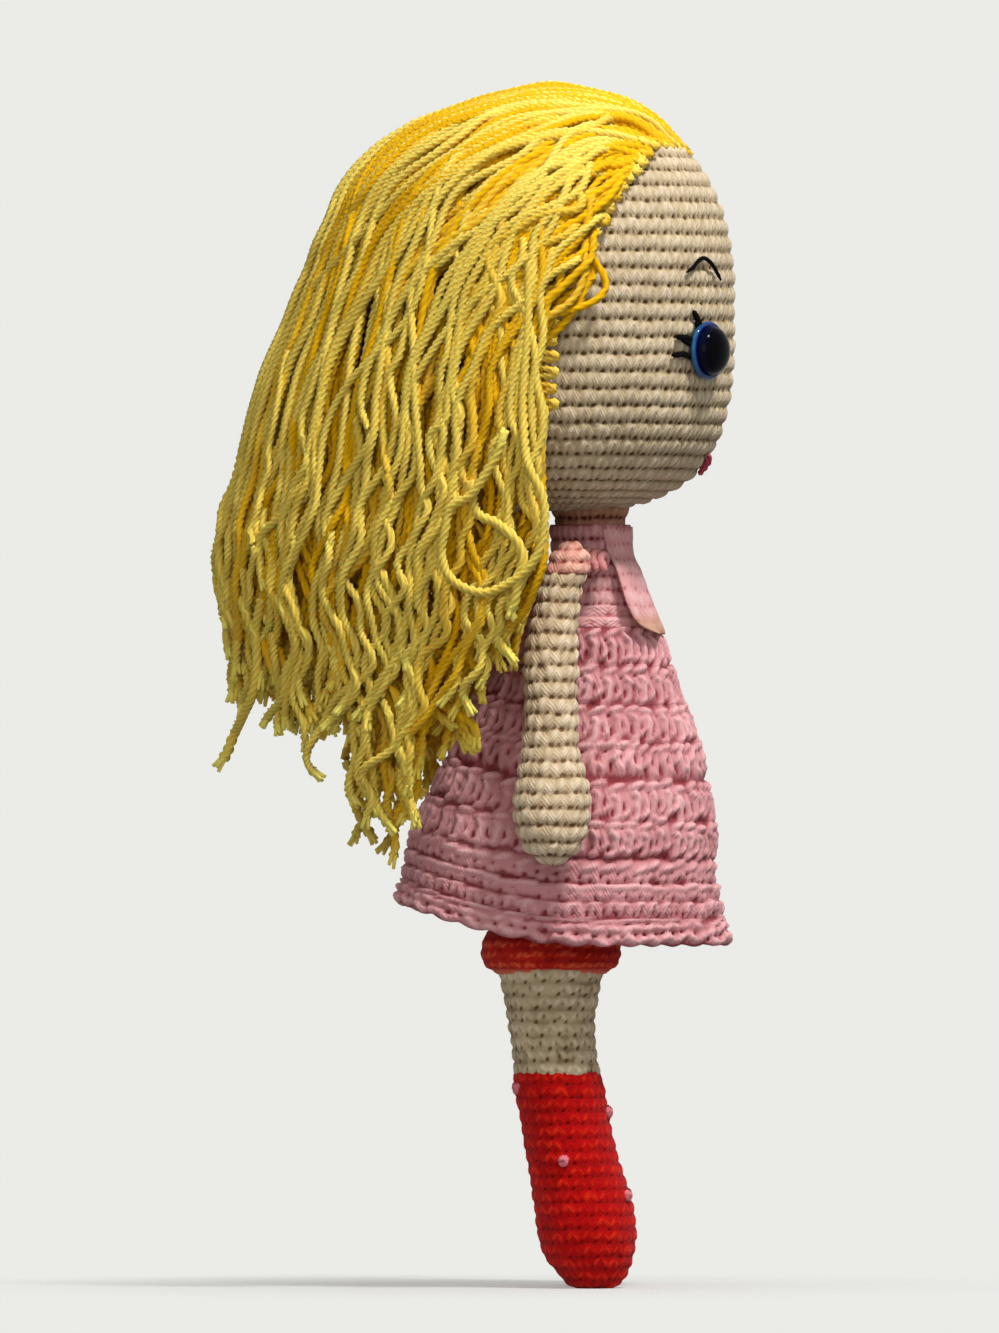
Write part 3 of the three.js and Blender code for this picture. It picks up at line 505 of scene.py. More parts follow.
def twisted_yarn():
    """Loose cotton yarn: each strand has its own tone between two colours, which carries painted shade too, a painted
    shade colour in the grooves between its plies, paler cut ends and fibres that run along the twist."""
    grey = (0.5, 0.5, 0.5, 1)
    group, given, made = new_group(
        "twisted_yarn",
        (("Deep", "Color", grey), ("Yarn", "Color", grey), ("Pale", "Color", grey)),
        (("Color", "Color", None), ("Height", "Float", None)),
    )
    ply, tone, tip = (carried(group, name) for name in ("ply", "tone", "tip"))
    stretched = put(group, "ShaderNodeMapping", Vector=stitch_place(group)[0], Scale=(26.0, 0.55, 1.0)).outputs[0]
    fibre, patch = noise(group, 1.0, 3.0, 0.65, stretched), noise(group, 55.0, 2.0)
    # The tone varies at random and carries painted shade for deep layers and on the crown
    bright = ramped(group, weighed(group, (tone, 0.62), (patch, 0.38)), 0.28, 0.78)
    colour = blended(group, bright, given["Yarn"], given["Pale"])
    # Painted shade: the grooves between the plies take the shade colour
    colour = blended(group, short_of(group, 1.0, ply, 0.74), colour, given["Deep"])
    # Random streaks along the fibres take the same colour
    colour = blended(group, short_of(group, 0.60, fibre, 0.7), colour, given["Deep"])
    colour = blended(group, maths(group, "MULTIPLY", tip, 0.55), colour, given["Pale"])
    group.links.new(colour, made["Color"])
    group.links.new(fibre, made["Height"])
    return group


def join_surface(tree, shader, colour, height, bump, bump_depth, roughness, shine):
    """Joins a colour and a fine height to a shader, with its roughness and how much it mirrors."""
    tree.links.new(colour, shader.inputs["Base Color"])
    raised = put(tree, "ShaderNodeBump", Height=height, Strength=bump, Distance=bump_depth)
    tree.links.new(raised.outputs[0], shader.inputs["Normal"])
    shader.inputs["Roughness"].default_value = roughness
    shader.inputs["Specular IOR Level"].default_value = shine


def yarn_material(name, group, colours, bump, bump_depth, **numbers):
    """Cotton yarn: a node group's colour and fine height, rough and with a faint sheen."""
    material, tree, shader = new_material(name)
    yarn = put(tree, "ShaderNodeGroup", {"node_tree": group}, **colours, **numbers)
    join_surface(tree, shader, yarn.outputs["Color"], yarn.outputs["Height"], bump, bump_depth, 0.9, 0.12)
    shader.inputs["Sheen Weight"].default_value = 0.05
    shader.inputs["Sheen Roughness"].default_value = 0.5
    return material


worked = worked_yarn()


def worked_wool(name, hollow, yarn, crown, **numbers):
    """Crocheted cotton in three colours: painted shade in hollows, the yarn's own, a painted highlight on its crown.
    """
    colours = {"Hollow": tint(*hollow), "Yarn": tint(*yarn), "Crown": tint(*crown)}
    return yarn_material(name, worked, colours, 0.55, 0.35 * MM, **numbers)


# In each material the first colour is painted shade for the hollows and the last a painted highlight for the crowns
skin_wool = worked_wool("skin_cotton", (102, 78, 46), (194, 174, 139), (224, 207, 178))
# Painted light: the arms wear a lighter copy of the skin yarn, for the light that falls on them
lit_arm_wool = worked_wool("lit_arm_cotton", (116, 88, 58), (206, 182, 146), (236, 216, 186))
# Painted shade: the skin yarn made darker and pinker, for shade under the head and pink light from the dress
shaded_neck_wool = worked_wool("shaded_neck_cotton", (104, 48, 34), (188, 134, 104), (212, 168, 142))
cap_wool = worked_wool("cap_cotton", (128, 80, 4), (184, 130, 14), (208, 156, 30))
pink_wool = worked_wool("pink_cotton", (142, 58, 64), (214, 150, 152), (238, 184, 184), Unevenness=0.6)
# A greyer pink than the skirt's, made lighter as painted light against the shade on the chest; the bodice wears it too
lit_lapel_wool = worked_wool("lit_lapel_cotton", (178, 92, 96), (228, 168, 166), (240, 194, 190), Unevenness=0.6)
cuff_wool = worked_wool("cuff_cotton", (132, 8, 4), (184, 28, 18), (234, 98, 56), Unevenness=0.8)
sleeve_wool = worked_wool("sleeve_cotton", (170, 94, 84), (226, 164, 144), (244, 196, 172), Unevenness=0.6)
boot_wool = worked_wool("boot_cotton", (116, 0, 0), (186, 0, 0), (232, 44, 10), Unevenness=0.8)
# The hair's first colour is painted shade for the grooves between plies, also used for random streaks
hair_wool = yarn_material(
    "hair_cotton", twisted_yarn(),
    {"Deep": tint(208, 146, 0), "Yarn": tint(242, 194, 2), "Pale": tint(252, 240, 118)}, 0.5, 0.3 * MM,
)


def plain_thread(name, dark, light, roughness=0.6):
    """Embroidery thread: fine specks between two close colours, which also stand up a little."""
    material, tree, shader = new_material(name)
    speck = noise(tree, 1500.0, 3.0)
    join_surface(tree, shader, blended(tree, speck, tint(*dark), tint(*light)), speck, 0.6, 0.3 * MM, roughness, 0.08)
    return material


black_thread = plain_thread("black_thread", (2, 2, 3), (10, 8, 9), 0.9)
rose_thread = plain_thread("rose_thread", (160, 44, 66), (214, 96, 112))
dot_thread = plain_thread("dot_cotton", (196, 92, 104), (232, 140, 148), 0.8)
seam_wool = plain_thread("seam_cotton", (212, 122, 122), (244, 178, 172), 0.9)


def dipped(material, start, end, colour):
    """Runs a material's colour into another between two places counted in its rows of stitches."""
    tree = material.node_tree
    shader = tree.nodes["Principled BSDF"]
    row = stitch_place(tree)[1][1]
    plain = shader.inputs["Base Color"].links[0].from_socket
    tree.links.new(blended(tree, ramped(tree, row, start, end), plain, colour), shader.inputs["Base Color"])


dipped(lit_lapel_wool, 5.3, 6.9, tint(206, 160, 128))
dipped(cuff_wool, 1.25, 0.75, tint(214, 104, 78))


def eye_material(name, stops, roughness, shine):
    """Moulded plastic whose colour changes from the middle of the eye to its rim, with the faintest scuffs."""
    material, tree, shader = new_material(name)
    from_middle = stitch_place(tree)[1][1]
    cloud = maths(tree, "SUBTRACT", noise(tree, 350.0, 2.0), 0.5)
    ramp = put(tree, "ShaderNodeValToRGB", Fac=maths(tree, "MULTIPLY_ADD", cloud, 0.12, from_middle))
    while len(ramp.color_ramp.elements) < len(stops):
        ramp.color_ramp.elements.new(0.5)
    for element, (at, colour) in zip(ramp.color_ramp.elements, stops):
        element.position = at
        element.color = tint(*colour)
    tree.links.new(ramp.outputs[0], shader.inputs["Base Color"])
    tree.links.new(maths(tree, "MULTIPLY_ADD", noise(tree, 900.0, 4.0), 0.06, roughness), shader.inputs["Roughness"])
    shader.inputs["IOR"].default_value = shine
    return material


eye_black = eye_material("eye_black", ((0.0, (1, 1, 3)), (0.85, (2, 2, 8)), (1.0, (4, 7, 36))), 0.02, 1.12)
eye_blue = eye_material(
    "eye_blue",
    ((0.0, (4, 8, 62)), (0.80, (6, 14, 80)), (0.90, (8, 40, 104)), (0.97, (12, 62, 118)), (1.0, (34, 92, 132))),
    0.06, 1.32,
)

# ---- head


HEAD_HEIGHT, HEAD_BACK = 251.0, 10.0
HEAD_RADIUS, HEAD_HALF = 47.5, 52.7


def head_radius(up, outside=0.0):
    """Radius of the head at a height on it: the edge of a rounded box whose powers differ above and below."""
    half = HEAD_HALF + outside
    power = np.where(up > 0, 2.5, 3.2)
    level = np.clip(np.abs(up) / half, 0, 1)
    return (HEAD_RADIUS + outside) * np.clip(1 - level**power, 0, 1) ** (1 / power)


def head_form(outside, low=-1.0, high=1.0):
    """The head's surface. up runs from one share of the half height to another as the cosine of an angle does, so
    that the rings crowd towards the poles, and angle 0 lies on the doll's left."""
    first, last = math.acos(-low), math.acos(-high)

    def form(up, angle):
        level = -np.cos(first + (last - first) * up)
        height = level * (HEAD_HALF + outside)
        radius = head_radius(height, outside)
        x, y = radius * np.cos(angle), HEAD_BACK + radius * np.sin(angle)
        return places(x, y, HEAD_HEIGHT + height)

    return form


# Points lie close round the face and far apart under the hair
FACE_HALF, FACE_POINTS, BACK_POINTS = math.radians(104), 370, 42
face_angles = np.linspace(-FACE_HALF, FACE_HALF, FACE_POINTS)
back_angles = np.linspace(FACE_HALF, TURN - FACE_HALF, BACK_POINTS)[1:-1]
head_angles = np.sort((np.concatenate([face_angles, back_angles]) - TURN / 4) % TURN)

head = crochet(
    "head_wool", head_form(-1.5), skin_wool, "head", 4.4, 3.9, 1.35, 0.5, kinds=SINGLE,
    angles=head_angles, phase=0.24, seed=3,
)
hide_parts("head_shell", "head_stuffing")


def on_head(forward, height, outside=0.0, side=-1):
    """The place on the head at a distance forward of the neck's axis and a height above the soles."""
    radius = head_radius(np.asarray(height, float) - HEAD_HEIGHT, outside)
    y = -np.asarray(forward, float)
    x = side * np.sqrt(np.clip(radius**2 - (y - HEAD_BACK) ** 2, 0, None))
    return places(x, y, height)


# The hairline on one side, as distances forward and heights: up to the temple, and then across the forehead
BROW_LINE = 291.8
HAIRLINE = ((-10.4, 205.0), (-10.4, 246.0), (-9.0, 248.0), (-6.4, 253.0), (-2.6, 263.0), (2.6, 272.0), (6.4, 279.7),
            (15.4, 291.3), (27.0, BROW_LINE), (40.0, BROW_LINE))
TEMPLE = 8


def behind_hairline(points):
    """Distance of each point from the hairline seen from the side, positive behind it."""
    line = np.array(HAIRLINE)
    flat = np.stack([-points[..., 1], points[..., 2]], -1)
    start, run = line[:-1], np.diff(line, axis=0)
    t = np.clip(((flat[..., None, :] - start) * run).sum(-1) / (run**2).sum(-1), 0, 1)
    gap = np.linalg.norm(flat[..., None, :] - start - t[..., None] * run, axis=-1).min(-1)
    up_to_temple = line[:TEMPLE]
    behind = flat[..., 0] < np.interp(flat[..., 1], up_to_temple[:, 1], up_to_temple[:, 0])
    behind |= flat[..., 1] > BROW_LINE
    return np.where(behind, gap, -gap)


def cap_form(up, angle):
    """The wig cap lies on the head behind the hairline and dives into it in front."""
    base = head_form(0.0, -0.72, 1.0)(up, angle)
    lift = eased(behind_hairline(base) / 2.5) * 4.3 - 4.7
    middle = np.array([0, HEAD_BACK, HEAD_HEIGHT])
    return base + unit(base - middle) * lift[..., None]


cap = crochet(
    "wig_cap_wool", cap_form, cap_wool, "head", 4.4, 4.2, 0.7, 1.25, kinds=SINGLE, phase=0.4, seed=5,
)
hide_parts("wig_cap")


# ---- threads and strands


def tube(line, radius, sides, twist=0.0, plies=0.0):
    """The rings of a tube along a line, how far along each lies, and which points are in a groove. Each ring has its
    points on a circle turned by twist for each millimetre, and every other point is drawn in by the share plies,
    which makes the grooves between twisted plies. The rings start from one slanting direction that no yarn follows."""
    ahead = unit(np.gradient(line, axis=0))
    across = unit(np.cross(np.broadcast_to([0.31, 0.22, 0.92], ahead.shape), ahead))
    third = np.cross(ahead, across)
    far = distance_along(line)
    turn = np.arange(sides) / sides * TURN + (twist * far)[:, None]
    groove = np.where(np.arange(sides) % 2 == 0, 1.0, 0.0)
    shrink = 1 - np.asarray(plies)[..., None] * (1 - groove)
    size = np.broadcast_to(radius, far.shape)[:, None] * shrink
    ring = np.cos(turn)[..., None] * across[:, None] + np.sin(turn)[..., None] * third[:, None]
    return line[:, None] + size[..., None] * ring, far, groove


def tube_mesh(tubes):
    """Joins tubes, each rings by sides by three, into one set of points, faces and corner places, with both ends of
    every tube closed."""
    points, quads, fans, uv, fan_uv = [], [], [], [], []
    total = 0
    for rings, far in tubes:
        rows, sides = rings.shape[:2]
        faces, (r, c) = grid_faces(rows, sides, start=total)
        points += [rings.reshape(-1, 3), rings[0].mean(0)[None], rings[-1].mean(0)[None]]
        quads.append(faces)
        uv.append(np.stack([c / sides, far[r]], -1).reshape(-1, 2))
        ring = np.arange(sides)
        fans.append(cap_fan(total + ring, total + rows * sides, True))
        fans.append(cap_fan(total + (rows - 1) * sides + ring, total + rows * sides + 1, False))
        fan_uv += [np.tile([[0.5, far[0]]], (sides * 3, 1)), np.tile([[0.5, far[-1]]], (sides * 3, 1))]
        total += rows * sides + 2
    return np.concatenate(points), [np.concatenate(quads), np.concatenate(fans)], np.concatenate(uv + fan_uv)


def curve(points, count):
    """A smooth line through points, as even steps of the cubic curves between them."""
    points = np.asarray(points, float)
    far = distance_along(points)
    at = np.linspace(0, far[-1], count)
    return np.stack([smooth(np.stack([far, points[:, k]], 1), at) for k in range(3)], 1)


def threads(name, lines, radii, material, body, *nodes, slot):
    """Stitched threads as one piece: each is a twisted tube along its line that thins towards both ends."""
    made = []
    for line, radius in zip(lines, radii):
        size = np.interp(np.linspace(0, 1, len(line)), [0, 0.08, 0.5, 0.92, 1], [0.5, 0.9, 1, 0.85, 0.45])
        made.append(tube(line, radius * size, 10, 2.2, 0.16)[:2])
    points, faces, uv = tube_mesh(made)
    piece = make_piece(name, points, faces, material, body, uv=uv)
    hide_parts(*nodes)
    return piece


# ---- face: eyes, lashes, brows and mouth


EYE_ANGLE, EYE_DROP, EYE_OUT, EYE_SIDES = math.radians(34), -11.5, 47.8, 96


def eye_frame(sign):
    """Middle of the eye's seat on the head, and the eye's own axes: outward, across and up."""
    out = np.array([sign * math.sin(EYE_ANGLE), -math.cos(EYE_ANGLE), 0.0])
    across = np.array([math.cos(EYE_ANGLE), sign * math.sin(EYE_ANGLE), 0.0])
    seat = np.array([0.0, HEAD_BACK, HEAD_HEIGHT + EYE_DROP]) + EYE_OUT * out
    return seat, out, across, np.array([0.0, 0.0, 1.0])


def turned(name, profile, sign, material, node, slot):
    """A round piece of an eye: a profile of radii and distances out from the seat, turned about the eye's axis."""
    seat, out, across, up = eye_frame(sign)
    radius, height = np.array(profile, float).T[..., None, None]
    angle = np.arange(EYE_SIDES) / EYE_SIDES * TURN
    rim = np.cos(angle)[:, None] * across * -sign + np.sin(angle)[:, None] * up
    if np.dot(np.cross(rim[0], rim[EYE_SIDES // 4]), out) < 0:
        rim = rim[::-1]
    points, faces, uv = tube_mesh([(seat + height * out + radius * rim, radius.ravel() / radius.max())])
    piece = make_piece(name, points, faces, material, "head", uv=uv)
    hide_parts(node)


# The blue disc is dished: its rim stands out round the foot of the black dome
disc_profile = [(2.6, -0.6), (5.0, -0.9), (6.9, -0.5)]
disc_profile += [(6.9 + 0.6 * math.sin(a), 0.6 - 0.75 * math.cos(a)) for a in np.linspace(0.3, 2.9, 9)]
disc_profile += [(6.5, 1.25), (6.1, 1.15), (4.0, 1.1)]
dome_profile = [(3.0, 0.8), (5.9, 0.9), (6.2, 1.2)]
dome_profile += [(6.28 * math.cos(a) ** 0.9, 1.6 + 3.9 * math.sin(a)) for a in np.linspace(0, TURN / 4, 14)[:-1]]
dome_profile += [(0.02, 5.5)]

# Lashes and a brow as runs of distance forward and height, with the thickness of each
LASHES = (
    (((29.4, 242.9), (28.0, 246.0), (26.3, 249.6)), 0.95),
    (((28.6, 242.6), (27.7, 244.6), (27.0, 247.0)), 0.8),
    (((27.4, 241.4), (24.8, 242.5), (21.9, 242.9)), 0.95),
    (((26.8, 240.4), (25.2, 241.3), (23.4, 242.2)), 0.8),
    (((26.6, 237.4), (23.8, 238.4), (20.9, 238.2)), 0.9),
)
BROW = ((24.6, 259.4), (26.2, 260.6), (27.6, 262.4), (29.0, 263.1), (30.8, 261.9), (32.2, 259.8), (33.4, 257.6))

for side, sign in SIDES:
    turned(f"{side}_eye_disc", disc_profile, sign, eye_blue, f"{side}_eye_iris", "eye_blue")
    turned(f"{side}_eye_dome", dome_profile, sign, eye_black, f"{side}_eye_pupil", "eye_black")
    lash_lines, lash_sizes = [], []
    for run, size in LASHES:
        forward, height = np.array(run).T
        lash_lines.append(curve(on_head(forward, height, 0.5, sign), 14))
        lash_sizes.append(size)
    threads(f"{side}_lash_stitches", lash_lines, lash_sizes, black_thread, "head", f"{side}_lashes",
            slot="black_thread")
    forward, height = np.array(BROW).T
    brow_line = curve(on_head(forward, height, 0.7, sign), 30)
    threads(f"{side}_brow_stitch", [brow_line], [0.62], black_thread, "head", f"{side}_brow", slot="black_thread")

# The mouth is three threads, one under the other. Each has its level above the corners' height, how far its middle
# hangs, and its reach to each side.
MOUTH_HEIGHT, FACE_BEND = 212.3, 39.5
MOUTH = ((0.55, 1.9, 8.2), (-0.5, 2.2, 7.6), (-1.5, 2.3, 6.0))
mouth_lines = []
for level, hang, reach in MOUTH:
    across = np.linspace(-1, 1, 24)
    height = MOUTH_HEIGHT - hang * (1 - across**2) + level
    radius = head_radius(height - HEAD_HEIGHT, 0.1)
    angle = across * reach / FACE_BEND
    mouth_lines.append(np.stack([radius * np.sin(angle), HEAD_BACK - radius * np.cos(angle), height], 1))
threads("mouth_stitches", mouth_lines, [0.85, 0.9, 0.8], rose_thread, "head", "mouth", slot="rose_thread")

# ---- neck


def round_form(table):
    """A level round form from the first height in a table to the last, whose radius follows the table."""
    def form(up, angle):
        height = table[0][0] + (table[-1][0] - table[0][0]) * up
        radius = smooth(table, height)
        return places(radius * np.cos(angle), radius * np.sin(angle), height)

    return form


NECK = ((181.0, 6.0), (184, 6.9), (190, 7.0), (193, 7.3), (197, 8.6), (200.8, 9.4))
# The neck wears the darker copy of the skin yarn, which is painted shade
neck = crochet("shaded_neck_wool", round_form(NECK), shaded_neck_wool, None, 4.0, 3.7, 1.0, 0.55, kinds=KNOBS, seed=9)
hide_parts("neck_shell", "neck_stuffing")
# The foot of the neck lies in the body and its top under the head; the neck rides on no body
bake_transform(neck)

# ---- body and dress

# Over shares of the height, the body's reach to the front, back and side, and how much wider the dress flares there,
# as shares of the greatest
BODY = (
    (0, 0.6, 0.85, 0.83), (0.03, 0.72, 0.96, 0.93), (0.15, 0.92, 1, 1), (0.34, 0.96, 0.91, 0.92),
    (0.54, 1, 0.81, 0.83), (0.68, 0.96, 0.72, 0.8), (0.81, 0.875, 0.61, 0.75), (0.9, 0.86, 0.48, 0.7),
    (0.967, 0.78, 0.36, 0.62), (1, 0.735, 0.335, 0.565),
)
FLARE = (
    (0, 1, 1, 1), (0.12, 0.91, 1, 0.86), (0.2, 0.88, 0.89, 0.74), (0.26, 0.83, 0.78, 0.62), (0.33, 0.74, 0.6, 0.44),
    (0.44, 0.64, 0.47, 0.33), (0.54, 0.54, 0.35, 0.23), (0.64, 0.37, 0.24, 0.1), (0.73, 0.28, 0.17, 0.03),
    (0.81, 0.19, 0.1, 0.01), (0.86, 0.12, 0.05, 0), (0.92, 0.03, 0, 0), (1, 0, 0, 0),
)
BODY_MOST, FLARE_MOST, DRESS_THICK = (12.0, 27.0, 23.0), (25.0, 20.2, 16.7), 2.9
HEM, BODY_LOW, BODY_TOP = 88.0, 109.0, 184.5
FRONT, BACK, SIDE = range(3)


def body_reach(height, way):
    """How far the body reaches to the front, back or side at a height."""
    return BODY_MOST[way] * straight(BODY, (height - BODY_LOW) / (BODY_TOP - BODY_LOW), way + 1)


def dress_reach(height, way):
    """How far the dress reaches to the front, back or side at a height, smoothed over a few millimetres."""
    total = 0
    for shift, weight in ((-5, 0.15), (-2.5, 0.22), (0, 0.26), (2.5, 0.22), (5, 0.15)):
        at = np.clip(height + shift, HEM, BODY_TOP)
        share = straight(FLARE, (at - HEM) / (BODY_TOP - HEM), way + 1)
        total = total + weight * (body_reach(at, way) + DRESS_THICK + FLARE_MOST[way] * share)
    return total


def half_ellipses(front, back, side, angle, height):
    """Places round level ovals, each half an ellipse in front and half of another behind."""
    depth = np.where(np.sin(angle) < 0, front, back)
    return places(side * np.cos(angle), depth * np.sin(angle), height)


def dress_form(low, high, lift=0.0, inset=0.0, wave=0.0):
    """The dress between two heights, inset from its outside. The low edge lifts towards the back and curls outward
    there, and soft folds as sines of the angle, deepest at the hem, run down it."""
    def form(up, angle):
        rise = lift * np.maximum(0, np.sin(angle)) ** 2
        height = low + rise + (high - low - rise) * up
        fold = wave * (1 - up) ** 1.6 * np.sin(6 * angle + 0.8) * (0.6 + 0.4 * np.sin(2 * angle))
        curl = np.minimum(wave, 1) * (5.0 * np.maximum(0, np.sin(angle)) ** 2 * (1 - up) ** 1.7
                                      + 1.6 * np.maximum(0, -np.sin(angle)) ** 2 * (1 - up) ** 7)
        reaches = (dress_reach(height, way) - inset + fold + curl for way in (FRONT, BACK, SIDE))
        return half_ellipses(*reaches, angle, height)

    return form


# The heights between the skirt's rows, what each row is worked in, and how wide its stitches are
SKIRT_TOP = 168.6
skirt_lines = np.array([HEM, 94.2, 98.6, 103.2, 109.7, 119.2, 129.5, 139.2, 148.7, 158.7, SKIRT_TOP])
skirt_kinds = [EDGING, SHORT, CORD, ROPE, DOUBLE, DOUBLE, DOUBLE_TURNED, DOUBLE, DOUBLE, DOUBLE]
skirt_widths = np.array([7.8, 4.6, 4.3, 4.9, 5.3, 5.2, 5.2, 5.1, 5.0, 4.9])
skirt_cuts = (skirt_lines - HEM) / (SKIRT_TOP - HEM)
skirt = crochet(
    "skirt_wool", dress_form(HEM, SKIRT_TOP, lift=11.0, inset=1.5, wave=1.3), pink_wool, "torso", 9.6, skirt_widths,
    2.0, 0.62, kinds=skirt_kinds, cuts=skirt_cuts, phase=0.31, lining=1.3, seed=11, hem=0.9,
    levels=np.linspace(0, 1, 150), unevenness=1.6,
)
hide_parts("skirt")

bodice_lines = np.array([168.4, 171.4, 174.6, 178.2, 181.6, 184.9])
bodice_low, bodice_tall = bodice_lines[0], bodice_lines[-1] - bodice_lines[0]
# The bodice wears the lighter lapel yarn, which carries painted light
bodice = crochet(
    "bodice_wool", dress_form(bodice_low, bodice_lines[-1], inset=1.4), lit_lapel_wool, "torso", 4.0,
    np.array([9.0, 9.0, 4.0, 4.0, 4.0]), 1.0, 0.5, kinds=[CORD, CORD, SINGLE, SINGLE, SINGLE],
    cuts=(bodice_lines - bodice_low) / bodice_tall, lining=1.2, seed=13, phase=0.4,
)
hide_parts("bodice")


def body_form(up, angle):
    """The stuffed body inside the dress. Its reaches draw in as a root of the distance to either end."""
    height = BODY_LOW + 0.3 + (BODY_TOP - 0.6 - BODY_LOW) * up
    pull = np.clip(np.minimum(up, 1 - up) / 0.03, 0, 1) ** 0.5 * 0.75 + 0.25
    return half_ellipses(*(body_reach(height, way) * pull - 1.2 for way in (FRONT, BACK, SIDE)), angle, height)


stuffed_body = crochet("body_wool", body_form, skin_wool, "torso", 4.4, 4.0, 1.1, 1.1, kinds=SINGLE, seed=15)
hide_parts("body_shell", "body_stuffing")

COLLAR = ((183.6, 9.2), (186, 9.4), (189, 9.5), (192, 9.6), (195.2, 9.9))
collar = crochet("collar_wool", round_form(COLLAR), pink_wool, "torso", 3.9, 3.8, 0.8, 0.5, kinds=KNOBS, lining=0.8,
                 seed=17)
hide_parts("collar")


# Over shares of its fall, how many degrees a lapel's far and near edges lie from the middle of the chest
LAPEL_FAR = ((0, 74), (0.24, 67), (0.5, 62), (0.77, 58), (0.88, 54), (0.95, 47), (1, 34))
LAPEL_NEAR = ((0, 7), (0.5, 5), (1, 4))
LAPEL_TOP, LAPEL_FALL, LAPEL_ROWS, NECK_REACH = 194.6, 27.6, 7.0, 10.2


def lapel(side, sign):
    """A flap of cloth on the chest. Across, it runs from its near edge by the middle to its far edge, whose angle
    shrinks to a point below. It is thinnest at the neck, its far edge stands a little off the dress, and its two faces
    round into each other at the rim."""
    down = np.linspace(0, 1, 60)[:, None]
    across = np.linspace(0, 1, 66)[None, :]
    far, near = smooth(LAPEL_FAR, down), smooth(LAPEL_NEAR, down)
    angle = np.radians(near + (far - near) * across)
    height = LAPEL_TOP - LAPEL_FALL * down
    rim = np.minimum(np.minimum(across, 1 - across) * (far - near) / 8, np.minimum(down + 0.3, 1 - down) * 9)
    plump = np.sqrt(np.clip(1 - (1 - np.clip(rim, 0, 1)) ** 2, 0, 1))
    slack = 0.35 + 0.75 * eased((down - 0.25) / 0.5) + 2.3 * eased((across - 0.5) / 0.5) * eased((down - 0.15) / 0.25)
    rows_here = down * LAPEL_ROWS
    worked_height = relief(across * 0.22 + 0.02 * down, rows_here, np.full(8, 20), [BOOT] * 8, 0.4, 1.8, 19 + sign)
    round_neck = eased((height - 182.5) / 7.0)
    faces_of_cloth = []
    for out in (slack + (0.55 + 0.26 * worked_height) * plump, slack - 0.6 * plump):
        reach_front, reach_side = (
            dress_reach(height, way) * (1 - round_neck) + NECK_REACH * round_neck + out for way in (FRONT, SIDE))
        faces_of_cloth.append(places(sign * reach_side * np.sin(angle), -reach_front * np.cos(angle), height))
    front, back = faces_of_cloth
    rows, columns = front.shape[:2]
    faces, (r, c) = grid_faces(rows, columns, around=False)
    # The back shares the points of the rim with the front
    inside = back[1:-1, 1:-1].reshape(-1, 3)
    behind = np.arange(rows * columns).reshape(rows, columns)
    behind[1:-1, 1:-1] = rows * columns + np.arange(len(inside)).reshape(rows - 2, columns - 2)
    faces = np.concatenate([faces, behind[r, c][:, ::-1]])
    uv = np.stack([across[0][c] * 6, rows_here[r, 0]], -1)
    uv = np.concatenate([uv, uv[:, ::-1]])
    if sign > 0:
        faces, uv = faces[:, ::-1], uv[:, ::-1]
    loft = np.concatenate([np.maximum(worked_height, 0.25).ravel(), np.full(len(inside), 0.5)])
    # The lapel wears the lighter yarn, which carries painted light
    piece = make_piece(f"{side}_lit_lapel_wool", np.concatenate([front.reshape(-1, 3), inside]), [faces], lit_lapel_wool,
                       "torso", uv=uv.reshape(-1, 2), loft=loft)
    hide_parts(f"{side}_lapel")


for side, sign in SIDES:
    lapel(side, sign)

# ---- arms

ARM_TOP, ARM_LENGTH, ARM_RADIUS, ARM_FLATNESS = 190.5, 82.0, 10.1, 0.86
# Over shares of its length from the top, an arm's radius, how far it bows backward, and how far it has spread
# outward, as shares of the greatest
ARM = (
    (0, 0.08, 0, 0), (0.025, 0.36, 0.04, 0.02), (0.08, 0.52, 0.2, 0.07), (0.13, 0.54, 0.45, 0.13),
    (0.22, 0.6, 0.75, 0.22), (0.35, 0.70, 1, 0.36), (0.5, 0.69, 0.98, 0.52), (0.65, 0.75, 1, 0.68),
    (0.75, 0.93, 0.95, 0.79), (0.85, 0.98, 0.95, 0.88), (0.92, 0.85, 0.94, 0.94), (0.97, 0.56, 0.93, 0.98),
    (1, 0.15, 0.93, 1),
)
ARM_X, ARM_SPREAD, ARM_Y, ARM_BACK = 27.81, 17.5, 4.8, 5.3


def arm_form(sign, first, last, inset):
    """An arm between two shares of its length, built from its lower end upward. Its sections are ovals, a little
    flatter from side to side."""
    def form(up, angle):
        along = last + (first - last) * up
        radius = np.maximum(smooth(ARM, along) * ARM_RADIUS - inset, 0.3)
        centre_x = sign * (ARM_X + ARM_SPREAD * straight(ARM, along, 3))
        centre_y = ARM_Y + ARM_BACK * smooth(ARM, along, 2)
        x, y = centre_x + ARM_FLATNESS * radius * np.cos(angle), centre_y + radius * np.sin(angle)
        return places(x, y, ARM_TOP - ARM_LENGTH * along)

    return form


# ---- legs

# Over shares of the height up to the cuff, a leg's radius and how far it leans forward, as shares of the greatest
LEG_TALL, LEG_RADIUS = 80.0, 12.9
LEG = (
    (0, 0.39, 1), (0.012, 0.52, 0.99), (0.05, 0.72, 0.96), (0.1, 0.9, 0.88), (0.165, 0.99, 0.84), (0.24, 1, 0.78),
    (0.4, 0.93, 0.52), (0.55, 0.9, 0.3), (0.66, 0.9, 0.17), (0.7, 0.85, 0.13), (0.76, 0.85, 0.07), (0.86, 0.88, 0),
    (0.95, 0.98, 0), (1, 1.04, 0),
)
